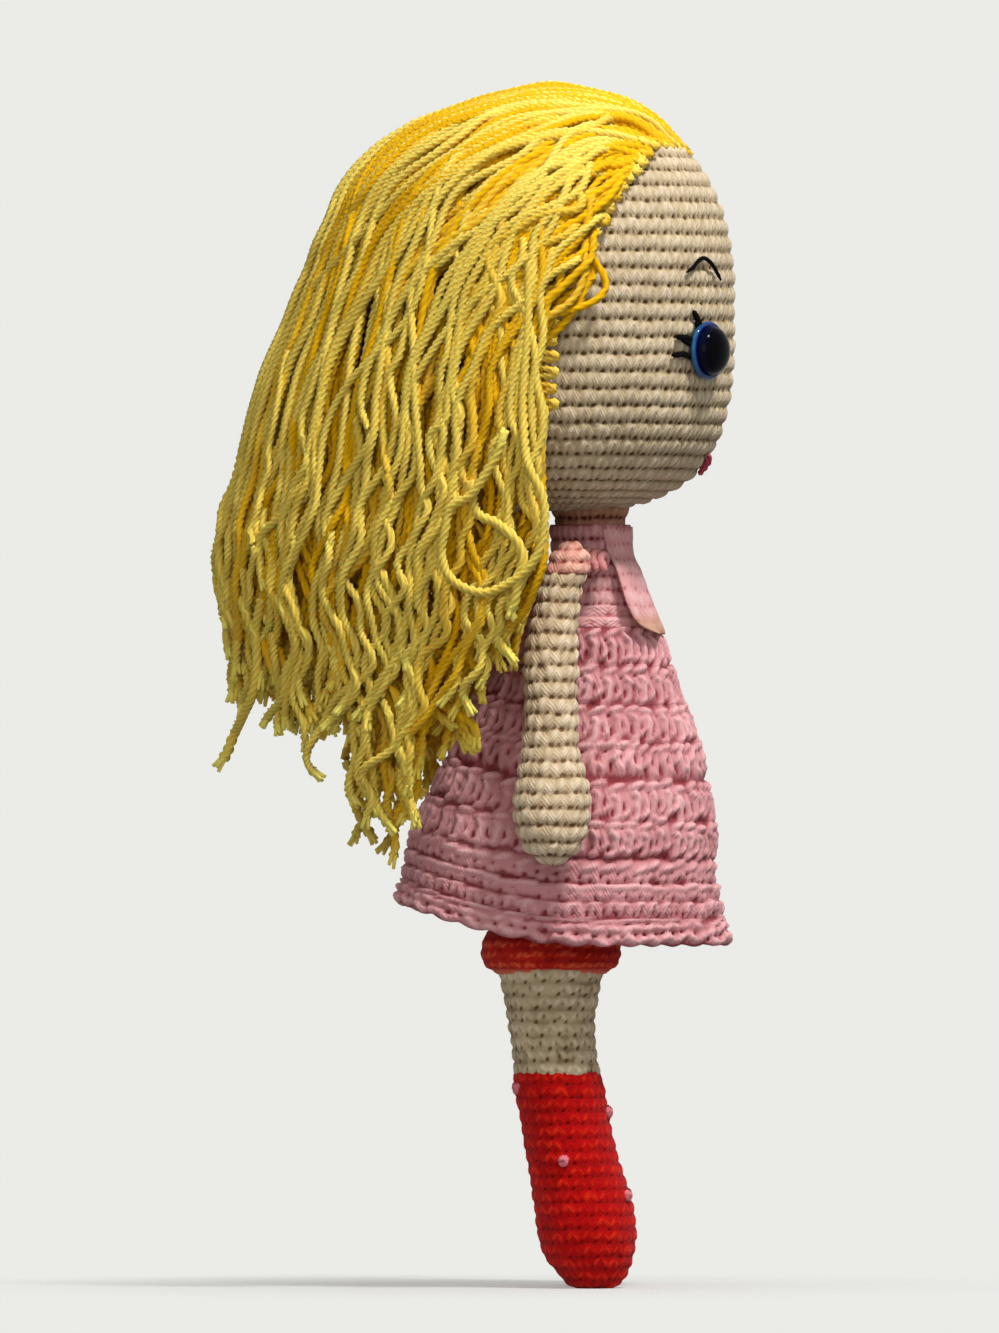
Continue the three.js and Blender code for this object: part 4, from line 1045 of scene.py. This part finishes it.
# Over shares of 24 mm upward from the cuff's lower edge, its reach from front to back and from side to side
CUFF_LOW, CUFF_TALL, CUFF_DEPTH, CUFF_WIDTH, CUFF_INSET = 80.0, 24.0, 18.2, 14.3, 0.9
CUFF = (
    (0, 0.70, 0.86), (0.04, 0.82, 0.92), (0.1, 0.93, 0.98), (0.28, 1, 1), (0.4, 0.95, 0.98), (0.47, 0.84, 0.86),
    (0.53, 0.70, 0.74), (0.62, 0.68, 0.74), (0.8, 0.80, 0.80), (1.0, 0.83, 0.84), (1.3, 0.70, 0.72), (1.5, 0.45, 0.5),
    (1.62, 0.12, 0.12),
)
HIP_X, HIP_Y, LEAN = 15.0, 10.0, 11.0


def leg_section(height):
    """A leg's radius and the depth of its middle at a height."""
    return smooth(LEG, height / LEG_TALL) * LEG_RADIUS, HIP_Y - LEAN * smooth(LEG, height / LEG_TALL, 2)


def leg_form(sign, low, high, inset):
    """A leg between two heights: round, and leaning forward towards the toe."""
    def form(up, angle):
        height = low + (high - low) * up
        radius, centre_y = leg_section(height)
        radius = np.maximum(radius - inset, 0.5)
        x, y = sign * HIP_X + radius * np.cos(angle), centre_y + radius * np.sin(angle)
        return places(x, y, height)

    return form


def cuff_form(sign):
    """A gathered cuff that swells over the calf and closes round the ball of the hip. Its sections are ovals with 17
    small puckers near the lower edge."""
    def form(up, angle):
        share = CUFF[-1][0] * up
        depth = smooth(CUFF, share) * CUFF_DEPTH - CUFF_INSET
        side = smooth(CUFF, share, 2) * CUFF_WIDTH - CUFF_INSET
        pucker = 1 + 0.012 * np.sin(17 * angle) * np.exp(-((up - 0.02) / 0.12) ** 2)
        x, y = sign * HIP_X + side * pucker * np.cos(angle), HIP_Y + depth * pucker * np.sin(angle)
        return places(x, y, CUFF_LOW + CUFF_TALL * CUFF[-1][0] * up)

    return form


# The pink knots on a boot: how far each lies from the outer side towards the toe, in quarter turns, and its height
DOTS = ((-0.75, 50.8), (0.88, 44.6), (-0.13, 32.4), (0.75, 23.4))

for side, sign in SIDES:
    seed = 30 + sign
    # The arms wear the lighter copy of the skin yarn, which is painted light
    arm = crochet(f"{side}_lit_arm_wool", arm_form(sign, 0.09, 1, 0.9), lit_arm_wool, f"{side}_arm", 4.2, 4.4, 1.05, 0.5,
                  kinds=KNOBS, phase=0.27, seed=seed, unevenness=1.6)
    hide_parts(f"{side}_arm_shell", f"{side}_arm_stuffing")
    sleeve = crochet(f"{side}_sleeve_wool", arm_form(sign, 0, 0.1, 0.4), sleeve_wool, f"{side}_arm", 3.7, 4.1,
                     0.95, 0.45, kinds=KNOBS, phase=0.3, seed=seed + 3, unevenness=2.0)
    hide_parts(f"{side}_sleeve")

    leg = f"{side}_leg"
    boot = crochet(f"{side}_boot_wool", leg_form(sign, 0.0, 55.0, 0.8), boot_wool, leg, 3.4, 3.9, 0.85, 0.5,
                   kinds=BOOT, seed=seed + 6, unevenness=1.5)
    calf = crochet(f"{side}_calf_wool", leg_form(sign, 54.0, 81.5, 0.8), skin_wool, leg, 3.5, 4.1, 0.95, 0.5,
                   kinds=FLAT, phase=0.36, seed=seed + 9, unevenness=2.0)
    cuff = crochet(f"{side}_cuff_wool", cuff_form(sign), cuff_wool, leg, 2.7, 3.4, 0.70, 0.55,
                   kinds=BOOT, seed=seed + 12, unevenness=2.0)
    for piece, names, slot in (
        (boot, (f"{side}_boot", f"{side}_leg_stuffing"), "boot_cotton"),
        (calf, (f"{side}_calf",), "skin_cotton"),
        (cuff, (f"{side}_bloomer_cuff",), "cuff_cotton"),
    ):
        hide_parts(*names)

    # Each knot winds outward from the boot in a narrowing spiral of 1.6 turns
    for number, (share, height) in enumerate(DOTS, 1):
        turned_by = share * TURN / 4
        radius, centre_y = map(float, leg_section(height))
        out = np.array([sign * math.cos(turned_by), -math.sin(turned_by), 0.0])
        centre = np.array([sign * HIP_X, centre_y, height]) + out * radius
        across = np.array([-out[1], out[0], 0.0])
        around, wide, rise = (
            np.linspace(*ends, 30)[:, None] for ends in ((0, TURN * 1.6), (1.05, 0.35), (-0.2, 0.75)))
        knot = centre + out * rise + wide * (np.cos(around) * across + np.sin(around) * np.array([0.0, 0.0, 1.0]))
        threads(f"{side}_dot_knot_{number}", [knot], [0.8], dot_thread, f"{side}_leg", f"{side}_boot_dot_{number}",
                slot="dot_cotton")

# ---- shoulder seams

SEAM_X, SEAM_HEIGHT, SEAM_REACH, SEAM_MIDDLE = 18.9, 184.0, 4.7, 2.6

for side, sign in SIDES:
    # Seven stitches, one behind the other, each an arch from the bodice to the arm; the outer ones are smaller
    lines = []
    for back in np.linspace(-3.4, 8.6, 7):
        arc = np.linspace(-0.35, math.pi + 0.2, 20)
        reach = SEAM_REACH - 0.033 * (back - SEAM_MIDDLE) ** 2
        x = sign * (SEAM_X + reach * np.cos(arc))
        lines.append(np.stack([x, back + 0.8 * np.sin(2 * arc), SEAM_HEIGHT + 0.95 * reach * np.sin(arc)], 1))
    seam = threads(f"{side}_seam_stitches", lines, [1.25] * len(lines), seam_wool, None, f"{side}_shoulder_stitches",
                   slot="pink_cotton")
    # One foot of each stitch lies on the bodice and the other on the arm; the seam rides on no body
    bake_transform(seam)

# ---- hair

CROWN_FOOT, CROWN_HEIGHT = 247.0, 62.0
# Over shares of the height from the crown's foot to its top, the hair's reach to the back, to the side and to the
# front; then, over shares of the drop below that foot, its reach to the back and the side, and how far round from the
# middle of the back it spreads. All are shares of the greatest.
CROWN = (
    (0, 0.777, 0.95, 1), (0.12, 0.747, 0.942, 0.996), (0.23, 0.71, 0.925, 0.99), (0.33, 0.69, 0.9, 0.977),
    (0.43, 0.651, 0.875, 0.95), (0.53, 0.63, 0.835, 0.88), (0.63, 0.584, 0.775, 0.79),
    (0.735, 0.51, 0.685, 0.69), (0.84, 0.39, 0.57, 0.585), (0.94, 0.21, 0.33, 0.37), (1, 0.03, 0.05, 0.05),
)
FALL = (
    (0, 0.777, 0.95, 1), (0.09, 0.84, 0.975, 1), (0.19, 0.885, 0.99, 1), (0.3, 0.925, 1, 1), (0.4, 0.985, 1, 1),
    (0.5, 0.985, 0.99, 0.96), (0.6, 0.945, 0.975, 0.93), (0.72, 0.935, 0.955, 0.9), (0.84, 0.915, 0.93, 0.86),
    (1, 0.86, 0.88, 0.83), (1.1, 0.84, 0.86, 0.8),
)
HAIR_BACK, HAIR_SIDE, HAIR_FRONT, HAIR_DROP = 88.2, 60.0, 52.5, 135.0
MIDDLE = np.array([0.0, HEAD_BACK, HEAD_HEIGHT])
YARN = 1.26  # radius of a strand


def hair_halves(height):
    """Half sizes of the hair's level section at a height, read from the tables: to the side, the back and the
    front."""
    up = (height - CROWN_FOOT) / CROWN_HEIGHT
    drop = -(height - CROWN_FOOT) / HAIR_DROP
    over = height > CROWN_FOOT
    side = np.where(over, straight(CROWN, up, 2), straight(FALL, drop, 2)) * HAIR_SIDE
    back = np.where(over, straight(CROWN, up, 1), straight(FALL, drop, 1)) * HAIR_BACK
    front = np.where(over, straight(CROWN, up, 3) * HAIR_FRONT, side)
    return side, back, front


def hair_reach(directions):
    """Distance from the middle of the head to the outside of the hair along each direction, by halving."""
    low, high = np.full(directions.shape[:-1], 20.0), np.full(directions.shape[:-1], 125.0)
    for _ in range(26):
        far = (low + high) / 2
        place = directions * far[..., None]
        side, back, front = hair_halves(place[..., 2] + HEAD_HEIGHT)
        depth = np.where(place[..., 1] > 0, back, front)
        outside = (place[..., 0] / side) ** 2 + (place[..., 1] / depth) ** 2 > 1
        outside |= place[..., 2] + HEAD_HEIGHT > CROWN_FOOT + CROWN_HEIGHT
        low, high = np.where(outside, low, far), np.where(outside, far, high)
    return (low + high) / 2


# Where the strands are knotted in, on the doll's right: from the ear up to the temple, then across the forehead
brow_height, brow_angle = np.linspace(292.4, 289.9, 8), np.linspace(0.72, -0.05, 8)
brow_reach = head_radius(brow_height - HEAD_HEIGHT, -0.9)
hairline_points = np.concatenate([
    on_head(*np.array(HAIRLINE[1:TEMPLE]).T, 1.4),
    np.stack([-brow_reach * np.sin(brow_angle), HEAD_BACK - brow_reach * np.cos(brow_angle), brow_height], 1),
])
hairline_far = distance_along(hairline_points)


def root_at(share, sign):
    """A place along the hairline, from its low end at 0 to the middle of the forehead at 1."""
    at = share * hairline_far[-1]
    root = np.array([np.interp(at, hairline_far, hairline_points[:, k]) for k in range(3)])
    root[0] *= -sign
    return root


def fall_place(angle, drop, inset, sign):
    """A place in the hanging hair: an angle from the middle of the back, a share of the full drop, and how far inside
    the hair's outer surface."""
    swept = angle * straight(FALL, drop, 3)
    height = CROWN_FOOT - drop * HAIR_DROP
    side, back, _ = hair_halves(height)
    x, y = side * np.sin(swept), back * np.cos(swept)
    reach = np.hypot(x, y)
    kept = np.maximum(reach - inset, head_radius(height - HEAD_HEIGHT, 3.2)) / reach
    return np.stack([sign * x * kept, HEAD_BACK + y * kept, height], -1)


# Over degrees from the middle of the back, how far strands hang, as shares of the full drop
LENGTHS = ((0, 0.69), (20, 0.70), (34, 0.74), (44, 0.77), (53, 0.79), (58, 0.86), (62, 0.97), (66, 1.0), (69, 0.94),
           (73, 0.90), (77, 0.86), (80, 0.79), (84, 0.68), (90, 0.58))
# Over heights, how far behind the head's middle the hair's front edge hangs
FRONT_EDGE = ((165, 9.6), (172, 7.0), (180, 4.2), (186, 2.4), (246, 2.2))
SOFTENED_OVER = 3.5  # millimetres to each side


def waves(far, *terms):
    """A sum of sines of the distance along a line. Each has its size, its length over a turn and its start."""
    return sum(size * np.sin(far / long + start) for size, long, start in terms)


def crown_line(angle, turned_drop, layer, lift, behind, sign, lock, luck):
    """A strand's run over the crown, and how deep in the hair it ends. Its root lies a little way behind the hairline.
    From there its direction, seen from the middle of the head, follows a curve between three directions and strays
    sideways in waves, while it rises to a share of the room between the cap and the hair's outer surface."""
    share = np.clip(1 - angle / math.radians(90), 0, 1) ** 0.45
    root = root_at(np.clip(share + 0.012 * luck[0], 0, 1), sign)
    start = unit(root - MIDDLE)
    back_way = np.array([0.0, 1.0, 0.25]) - start * (start[1] + 0.25 * start[2])
    start = unit(start + unit(back_way) * behind / 50.0)
    root = MIDDLE + start * (np.linalg.norm(root - MIDDLE) + 0.02 * behind)
    end_place = fall_place(np.array([angle]), np.array([turned_drop]), np.array([0.0]), sign)[0]
    end = unit(end_place - MIDDLE)
    high = root[2] - (0.30 + 0.06 * lock[1]) * (root[2] - end_place[2])
    side, back, _ = hair_halves(np.array(high))
    sweep = angle * 0.93
    bend = unit(np.array([sign * side * math.sin(sweep), back * math.cos(sweep), high - HEAD_HEIGHT]))
    t = np.linspace(0, 1, 60)[:, None]
    way = unit((1 - t) ** 2 * start + 2 * t * (1 - t) * bend + t**2 * end)
    sideways = unit(np.cross(start, end))
    stray = 0.145 * lock[2] * np.sin(math.pi * t) + eased(t / 0.2) * waves(
        t, (0.070 * luck[2], 1 / 7, 3 * luck[3]), (0.034 * lock[3], 1 / 11, 4 * lock[4]),
        (0.013 * luck[6], 1 / 21, 4 * luck[7]))
    way = unit(way + sideways * stray * (1 - t**3))
    outer = hair_reach(way) - YARN
    cap = 1 / np.sqrt((way[:, 0] ** 2 + way[:, 1] ** 2) / (HEAD_RADIUS + 3.0) ** 2
                      + way[:, 2] ** 2 / (HEAD_HALF + 3.0) ** 2)
    room = np.maximum(outer - cap, 0)
    inside = outer - np.minimum(np.maximum(layer * 0.9 * room - lift * np.clip(room / 6, 0, 1), -0.7), room)
    front = np.clip(-root[1] / 20, 0, 1)
    rise = eased(t[:, 0] / (0.10 + 0.03 * front))
    reach = np.linalg.norm(root - MIDDLE) * (1 - rise) + inside * rise
    return MIDDLE + way * reach[:, None], outer[-1] - inside[-1]


def hanging_line(angle, clump, turned_drop, length, depth, layer, lift, sign, lock, luck):
    """A strand's run down to its end. It draws near the others of its lock and parts from them again, and it hangs in
    waves that grow towards its end. Most of the wave belongs to the lock. Where it would hang in front of the hair's
    front edge, it moves back most of the way."""
    drop = np.linspace(turned_drop + 0.015, length, 80)
    settled = eased((drop - turned_drop) / 0.3)
    inset = YARN + depth * (1 - settled) + np.maximum(layer * 20.0 - lift, -0.6) * settled
    hang = fall_place(angle + clump * (0.55 + 0.45 * np.cos(drop * 17 + 3 * lock[6])), drop, inset, sign)
    grown = eased((drop - turned_drop) / 0.12) * (0.55 + 0.75 * drop / length)
    far = drop * HAIR_DROP * TURN
    wave = 2.4 * luck[11] * (drop / length) ** 3 + waves(
        far, (3.4 * lock[7], 58 + 10 * lock[8], 5 * lock[9]), (1.3 * lock[3], 31 + 4 * lock[10], 6 * lock[5]),
        (0.5 + 0.9 * abs(luck[5]), 29 + 5 * luck[6], 6 * luck[7]),
        (0.2 + 0.55 * abs(luck[8]), 13 + 2 * luck[9], 6 * luck[10]))
    along = np.array([sign * math.cos(angle), -math.sin(angle), 0.0])
    hang = hang + along * (grown * wave)[:, None]
    away = np.array([sign * math.sin(angle), math.cos(angle), 0.0])
    ripple = waves(far, (0.7 + 0.3 * lock[10], 38 + 6 * lock[11], 6 * luck[3]), (0.5, 15 + 3 * luck[2], 6 * luck[1]))
    hang = hang + away * (grown * (ripple - 0.7))[:, None]
    edge = HEAD_BACK + straight(FRONT_EDGE, hang[:, 2])
    hang[:, 1] += 0.92 * np.maximum(0, edge - hang[:, 1])
    return hang


def softened(line, step):
    """A line cut into even steps, each point then the weighted mean of its neighbours within a few millimetres."""
    far = distance_along(line)
    at = np.linspace(0, far[-1], int(far[-1] / step))
    even = np.stack([np.interp(at, far, line[:, k]) for k in range(3)], 1)
    half = max(1, round(SOFTENED_OVER / step))
    kernel = np.hanning(2 * half + 3)[1:-1]
    kernel = kernel / kernel.sum()
    spread = np.concatenate([np.repeat(even[:1], half, 0), even, np.repeat(even[-1:], half, 0)])
    return np.stack([np.convolve(spread[:, k], kernel, "valid") for k in range(3)], 1)


def strand_line(angle, clump, layer, length, behind, sign, lock, luck, step):
    """The line of one strand, over the crown until it hangs and then down. angle is its lock's from the middle of the
    back and clump how far the strand lies from that, and layer is its depth as a share of the room. lock and luck are
    chance numbers of its lock and its own, which also say where it starts to hang and how far it lifts off."""
    turned_drop = np.clip(0.16 + 0.07 * lock[0] + 0.03 * luck[1], 0.04, 0.34)
    lift = np.clip(0.9 * lock[5] + 0.5 * luck[4], -2.2, 1.5)
    over, depth = crown_line(angle, turned_drop, layer, lift, behind, sign, lock, luck)
    hang = hanging_line(angle, clump, turned_drop, length, depth, layer, lift, sign, lock, luck)
    return softened(np.concatenate([over, hang]), step)


# How far the plies turn for each millimetre, how deep the grooves between them are, and over how many millimetres a
# cut end frays
TWIST, GROOVE, FRAY_OVER = 0.74, 0.26, 2.6
# Painted shade on the crown: the height where it begins, over how many millimetres it grows, and the tone the others
# spread about
CROWN_LOW, CROWN_OVER, CROWN_TONE = 278.0, 22.0, 0.76


def strand(line, tone, sides=8, thick=1.0, chance=None):
    """One strand of four-ply yarn along a line, with its marks: its plies, its tone, which carries painted shade, and
    how near its cut end is. Its grooves deepen towards that end as a falling exponential, and there the plies part,
    each as a thin tube that leans outward. Without chance the end isn't cut. On the crown the tones are spread as
    painted
    shade: dull strands are darkened, and only the palest are made paler."""
    far = distance_along(line)
    left = far[-1] - far
    fray = np.exp(-left / FRAY_OVER)
    size = YARN * thick * (1 + 0.22 * fray) * np.clip((left + 0.5) / 1.2, 0.5, 1)
    rings, far, groove = tube(line, size, sides, TWIST, GROOVE + 0.32 * fray)
    shape = rings.shape[:2]
    # Painted shade on the crown: dull strands darken there, and only the palest grow paler
    crown = eased((line[:, 2] - CROWN_LOW) / CROWN_OVER)
    shade = np.clip(tone + crown * (0.9 * (tone - CROWN_TONE) - 0.08), 0, 1)[:, None]
    made = [(rings, far, [np.broadcast_to(mark, shape) for mark in (groove, shade, fray[:, None])])]
    if chance is None:
        return made
    ahead = unit(line[-1] - line[-3])
    across = unit(np.cross(ahead, [0.3, 0.5, 0.8]))
    third = np.cross(ahead, across)
    t = np.linspace(0, 1, 5)[:, None]
    for k in range(4):
        turned = k * TURN / 4 + chance.normal() * 0.4
        out = math.cos(turned) * across + math.sin(turned) * third
        reach, long = 0.25 + 0.5 * chance.random(), 1.6 + 1.5 * chance.random()
        ply = line[-1] - 1.2 * ahead + out * (0.50 + reach * t**1.5) + ahead * (long + 0.8) * t
        ply_rings, ply_far, _ = tube(ply, 0.62 * thick * (1 - 0.25 * t[:, 0]), 5)
        shape = ply_rings.shape[:2]
        made.append((ply_rings, ply_far, [np.full(shape, mark) for mark in (0.7, tone, 1.0)]))
    return made


def hair_piece(name, strands, nodes=()):
    """Many strands as one piece. Its upper part lies on the head and its ends hang behind the back; it rides on no
    body.
    """
    points, faces, uv = tube_mesh([(rings, far) for rings, far, _ in strands])
    ply, tone, tip = (
        np.concatenate([np.append(marks[k], [marks[k][0].mean(), marks[k][-1].mean()]) for _, _, marks in strands])
        for k in range(3))
    piece = make_piece(name, points, faces, hair_wool, None, uv=uv, ply=ply, tone=tone, tip=tip)
    if nodes:
        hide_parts(*nodes)
    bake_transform(piece)


# Layers of hair: how many strands, how deep they lie at least and at most, the step along a strand, its sides, and
# their tone, which is painted shade: the deeper layers are darker
LAYERS = (
    ("loose", 24, -0.06, 0.02, 1.2, 8, 0.95), ("outer", 40, 0.0, 0.10, 1.2, 8, 0.76),
    ("second", 58, 0.12, 0.24, 1.35, 8, 0.22), ("third", 50, 0.22, 0.42, 1.7, 6, 0.20),
    ("inner", 42, 0.5, 0.95, 2.2, 6, 0.1),
)
SWEEP = math.radians(89.0)  # how far round from the middle of the back the strands hang
ROOT_ROWS = (0.0, 4.5, 9.0, 16.0)  # how far behind the hairline the roots of the three outermost layers may lie
LONGEST = 1.03  # the most that a strand hangs, as a share of the full drop
STRAND_SEED, KNOT_SEED, KNOTS, CHEEK_KNOTS = 110, 170, 30, 5
# Three stray strands on the doll's right, as distances forward and heights: one hangs in a loop in front of the
# others, one curls inside it, and one sticks out at the back
LOOP = ((-15.8, 262.0), (-16.0, 247.0), (-17.2, 222.0), (-15.4, 208.5), (-12.8, 203.5), (-11.8, 198.5),
        (-12.0, 193.5), (-13.0, 188.4), (-16.4, 183.4), (-21.5, 179.6), (-26.6, 177.6), (-31.8, 178.6),
        (-36.4, 182.2), (-38.0, 187.3), (-37.0, 194.0), (-35.8, 199.0), (-30.8, 202.2), (-26.6, 208.0),
        (-23.6, 213.4), (-22.4, 217.0))
CURL = ((-31.0, 206.0), (-28.2, 197.2), (-24.2, 195.4), (-20.6, 192.6), (-17.9, 189.0), (-17.2, 186.0),
        (-18.0, 183.2), (-18.6, 179.6), (-19.4, 175.8), (-20.2, 173.0))
WISP = ((-84.0, 176.0), (-85.5, 168.0), (-85.0, 160.0), (-86.0, 153.0), (-88.8, 146.5), (-91.4, 141.0),
        (-93.4, 136.0), (-94.4, 134.6))


def layer_strands(number, count, near, deep, step, sides, pale, sign, chance):
    """The strands of a layer, numbered from -1 for the loose ones to 3 for the inner ones. They come in locks of two
    to five, but the loose ones lie singly and stray more. Each lies at a share of the way round and is as long as
    hair is there, less a part by chance, most often a small one."""
    strands = []
    k = 0
    while k < count:
        members = int(chance.integers(2, 6)) if number >= 0 else 1
        lock = chance.normal(size=12).clip(-1.8, 1.8)
        middle = (k + members / 2) / count
        angle = SWEEP * float(np.clip(middle, 0.004, 1))
        full = float(straight(LENGTHS, math.degrees(angle)))
        for _ in range(min(members, count - k)):
            luck = chance.normal(size=12).clip(-2, 2) * (1.45 if number < 0 else 1.0)
            share = (k + 0.5 + 0.25 * luck[0]) / count
            k += 1
            clump = float(np.clip(angle + SWEEP * float(share - middle), 0.002, SWEEP)) - angle
            layer = near + (deep - near) * chance.random()
            length = full * (1 + 0.03 * lock[2] - 0.36 * chance.random() ** 2.6 - 0.03 * number * chance.random())
            behind = ROOT_ROWS[int(chance.integers(0, 4))] if number < 2 else 0.0
            line = strand_line(angle, clump, layer, min(length, LONGEST), behind, sign, lock, luck, step)
            # Painted shade: the layer's tone darkens with depth, and each lock and strand varies it at random
            tone = pale + 0.16 * lock[1] + 0.16 * luck[1]
            strands += strand(line, float(np.clip(tone, 0, 1)), sides, 1.02 + 0.05 * luck[2], chance)
    return strands


def stray_strands(chance):
    """The loop, the curl and the wisp. They lie a little outside the hair's side, but for their first three points."""
    strands = []
    for run, out in ((LOOP, 2.6), (CURL, 1.8), (WISP, 0.5)):
        forward, height = np.array(run).T
        half_side, half_back, _ = hair_halves(height)
        x = half_side * np.sqrt(np.clip(1 - ((-forward - HEAD_BACK) / half_back) ** 2, 0.02, 1)) + out
        x = x - 2.6 * (np.arange(len(x)) < 3)
        strands += strand(curve(np.stack([-x, -forward, height], 1), 130), 0.85, 8, 1.1, chance)
    return strands


def hairline_knots(sign, chance):
    """Small loops along the hairline, where each strand is knotted into the cap. Each is half an oval that stands a
    little out from the cap, and over the forehead they grow thin and flat."""
    knots = []
    cheek = np.linspace(226.0, 246.0, CHEEK_KNOTS + 1)
    for k in range(KNOTS):
        if k < CHEEK_KNOTS:
            here, after = (on_head(-10.4, cheek[k + j], 2.0, sign) for j in (0, 1))
        else:
            share = (k + 0.2 - CHEEK_KNOTS) / (KNOTS - CHEEK_KNOTS)
            here, after = root_at(share, sign), root_at(min(share + 0.01, 1), sign)
        line_way = unit(after - here)
        out = unit(here - MIDDLE)
        ahead = unit(np.cross(out, line_way))
        if ahead[1] > 0:
            ahead = -ahead
        t = np.linspace(0, math.pi, 12)[:, None]
        thin = float(eased((k - 21) / 5))
        wide, long = 0.9 + 0.3 * chance.random(), (0.7 + 1.3 * chance.random()) * (1 - 0.7 * thin)
        bow = here - 4.0 * ahead + (4.0 + long) * np.sin(t) * ahead + wide * np.cos(t) * line_way
        bow = bow + out * (0.2 + 0.9 * np.sin(t)) * (1 - 0.8 * thin)
        knots += strand(bow, 0.35 + 0.5 * chance.random(), 8, 0.94 - 0.28 * thin)
    return knots


for side, sign in SIDES:
    first_lock, crown = (1, ["hair_crown"]) if side == "right" else (7, [])
    for number, (layer_name, *numbers) in enumerate(LAYERS, -1):
        chance = np.random.default_rng(STRAND_SEED + 10 * number + sign)
        strands = layer_strands(number, *numbers, sign, chance)
        if side == "right" and number == -1:
            strands += stray_strands(chance)
        # The outer layer stands for the locks of its side, and on the right for the crown as well
        replaced = crown + [f"hair_lock_{first_lock + n}" for n in range(6)] if number == 0 else []
        hair_piece(f"{side}_hair_{layer_name}", strands, replaced)
    hair_piece(f"{side}_hair_knots", hairline_knots(sign, np.random.default_rng(KNOT_SEED + sign)))

# ---- washers keep their moulded form


def washer_finish():
    """White moulded plastic with a faint grain."""
    material, tree, shader = new_material("washer_plastic")
    grain = noise(tree, 800.0, 3.0)
    tree.links.new(blended(tree, grain, tint(214, 214, 208), tint(238, 238, 234)), shader.inputs["Base Color"])
    tree.links.new(maths(tree, "MULTIPLY_ADD", grain, 0.2, 0.35), shader.inputs["Roughness"])
    return material


washer_plastic = washer_finish()
for side, _ in SIDES:
    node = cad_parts[f"{side}_eye_washer"]
    node.data.materials.clear()
    node.data.materials.append(washer_plastic)

# ---- floor, lamps and camera


def floor_finish():
    """Pale paper that fades from about two thirds there to nothing away from the doll, so that no edge shows."""
    material, tree, shader = new_material("pale_floor")
    place = put(tree, "ShaderNodeTexCoord").outputs["Object"]
    far = put(tree, "ShaderNodeVectorMath", {"operation": "LENGTH"}, i0=place).outputs["Value"]
    fade = maths(tree, "MULTIPLY_ADD", ramped(tree, far, 0.04, 0.17), 0.65, 0.35)
    colour = blended(tree, noise(tree, 300.0, 3.0), tint(202, 202, 199), tint(208, 208, 205))
    tree.links.new(colour, shader.inputs["Base Color"])
    shader.inputs["Roughness"].default_value = 0.9
    clear = put(tree, "ShaderNodeBsdfTransparent")
    mix = put(tree, "ShaderNodeMixShader", i0=fade, i1=shader.outputs[0], i2=clear.outputs[0])
    tree.links.new(mix.outputs[0], tree.nodes["Material Output"].inputs[0])
    return material


floor_mesh = bpy.data.meshes.new("floor")
reach = 0.4
floor_mesh.from_pydata([(-reach, -reach, 0), (reach, -reach, 0), (reach, reach, 0), (-reach, reach, 0)], [],
                       [(0, 1, 2, 3)])
floor_mesh.materials.append(floor_finish())
floor_object = bpy.data.objects.new("floor", floor_mesh)
floor_object.location = (0, 0.02, -(HOLD_HEIGHT + 0.2) * MM)
bpy.context.scene.collection.objects.link(floor_object)


def lamp(name, place, size, power):
    """A round lamp at a place in metres, turned to shine on the doll's middle."""
    data = bpy.data.lights.new(name, "AREA")
    data.shape, data.size, data.energy = "DISK", size, power
    lamp_object = bpy.data.objects.new(name, data)
    bpy.context.scene.collection.objects.link(lamp_object)
    lamp_object.location = place
    x, y, z = np.array(place) - (0, 0, 0.02)
    lamp_object.rotation_euler = (math.atan2(math.hypot(x, y), z), 0, math.atan2(x, -y))


lamp("key_lamp", (-0.50, -0.42, 1.15), 0.24, 16.8)
lamp("fill_lamp", (-1.3, 0.1, 0.35), 0.8, 3.2)

# The light comes softly from all round and more from above, and the camera sees a plain pale wall
scene = bpy.context.scene
scene.view_settings.view_transform = "Standard"
world = scene.world = bpy.data.worlds.new("studio")
world.use_nodes = True
tree = world.node_tree
path = put(tree, "ShaderNodeLightPath")
seen = maths(tree, "MAXIMUM", path.outputs["Is Camera Ray"], path.outputs["Is Glossy Ray"])
seen = maths(tree, "MAXIMUM", seen, path.outputs["Is Transmission Ray"])
upward = put(tree, "ShaderNodeSeparateXYZ", i0=put(tree, "ShaderNodeTexCoord").outputs["Generated"]).outputs[2]
from_above = put(tree, "ShaderNodeMapRange", i0=upward, i1=-0.8, i2=0.8).outputs[0]
soft_light = blended(tree, from_above, (0.18, 0.18, 0.185, 1), (0.50, 0.50, 0.505, 1))
wall = blended(tree, seen, soft_light, tint(235, 235, 231))
tree.links.new(wall, tree.nodes["Background"].inputs["Color"])

# The camera stands far off the doll's right side and sees as much of it as the photograph does, whose height in
# pixels and pixels to a millimetre these are
PICTURE_TALL, PIXELS_TO_MM, DISTANCE, SENSOR = 1333, 3.9, 7.0, 36.0
camera_data = bpy.data.cameras.new("camera")
camera_data.sensor_fit, camera_data.sensor_height, camera_data.clip_end = "VERTICAL", SENSOR, 20.0
camera_data.lens = SENSOR * DISTANCE / (PICTURE_TALL / PIXELS_TO_MM * MM)
camera = scene.camera = bpy.data.objects.new("camera", camera_data)
scene.collection.objects.link(camera)
camera.location = (-DISTANCE, 0.0232, 0.0088)
camera.rotation_euler = (math.pi / 2, 0, -math.pi / 2)
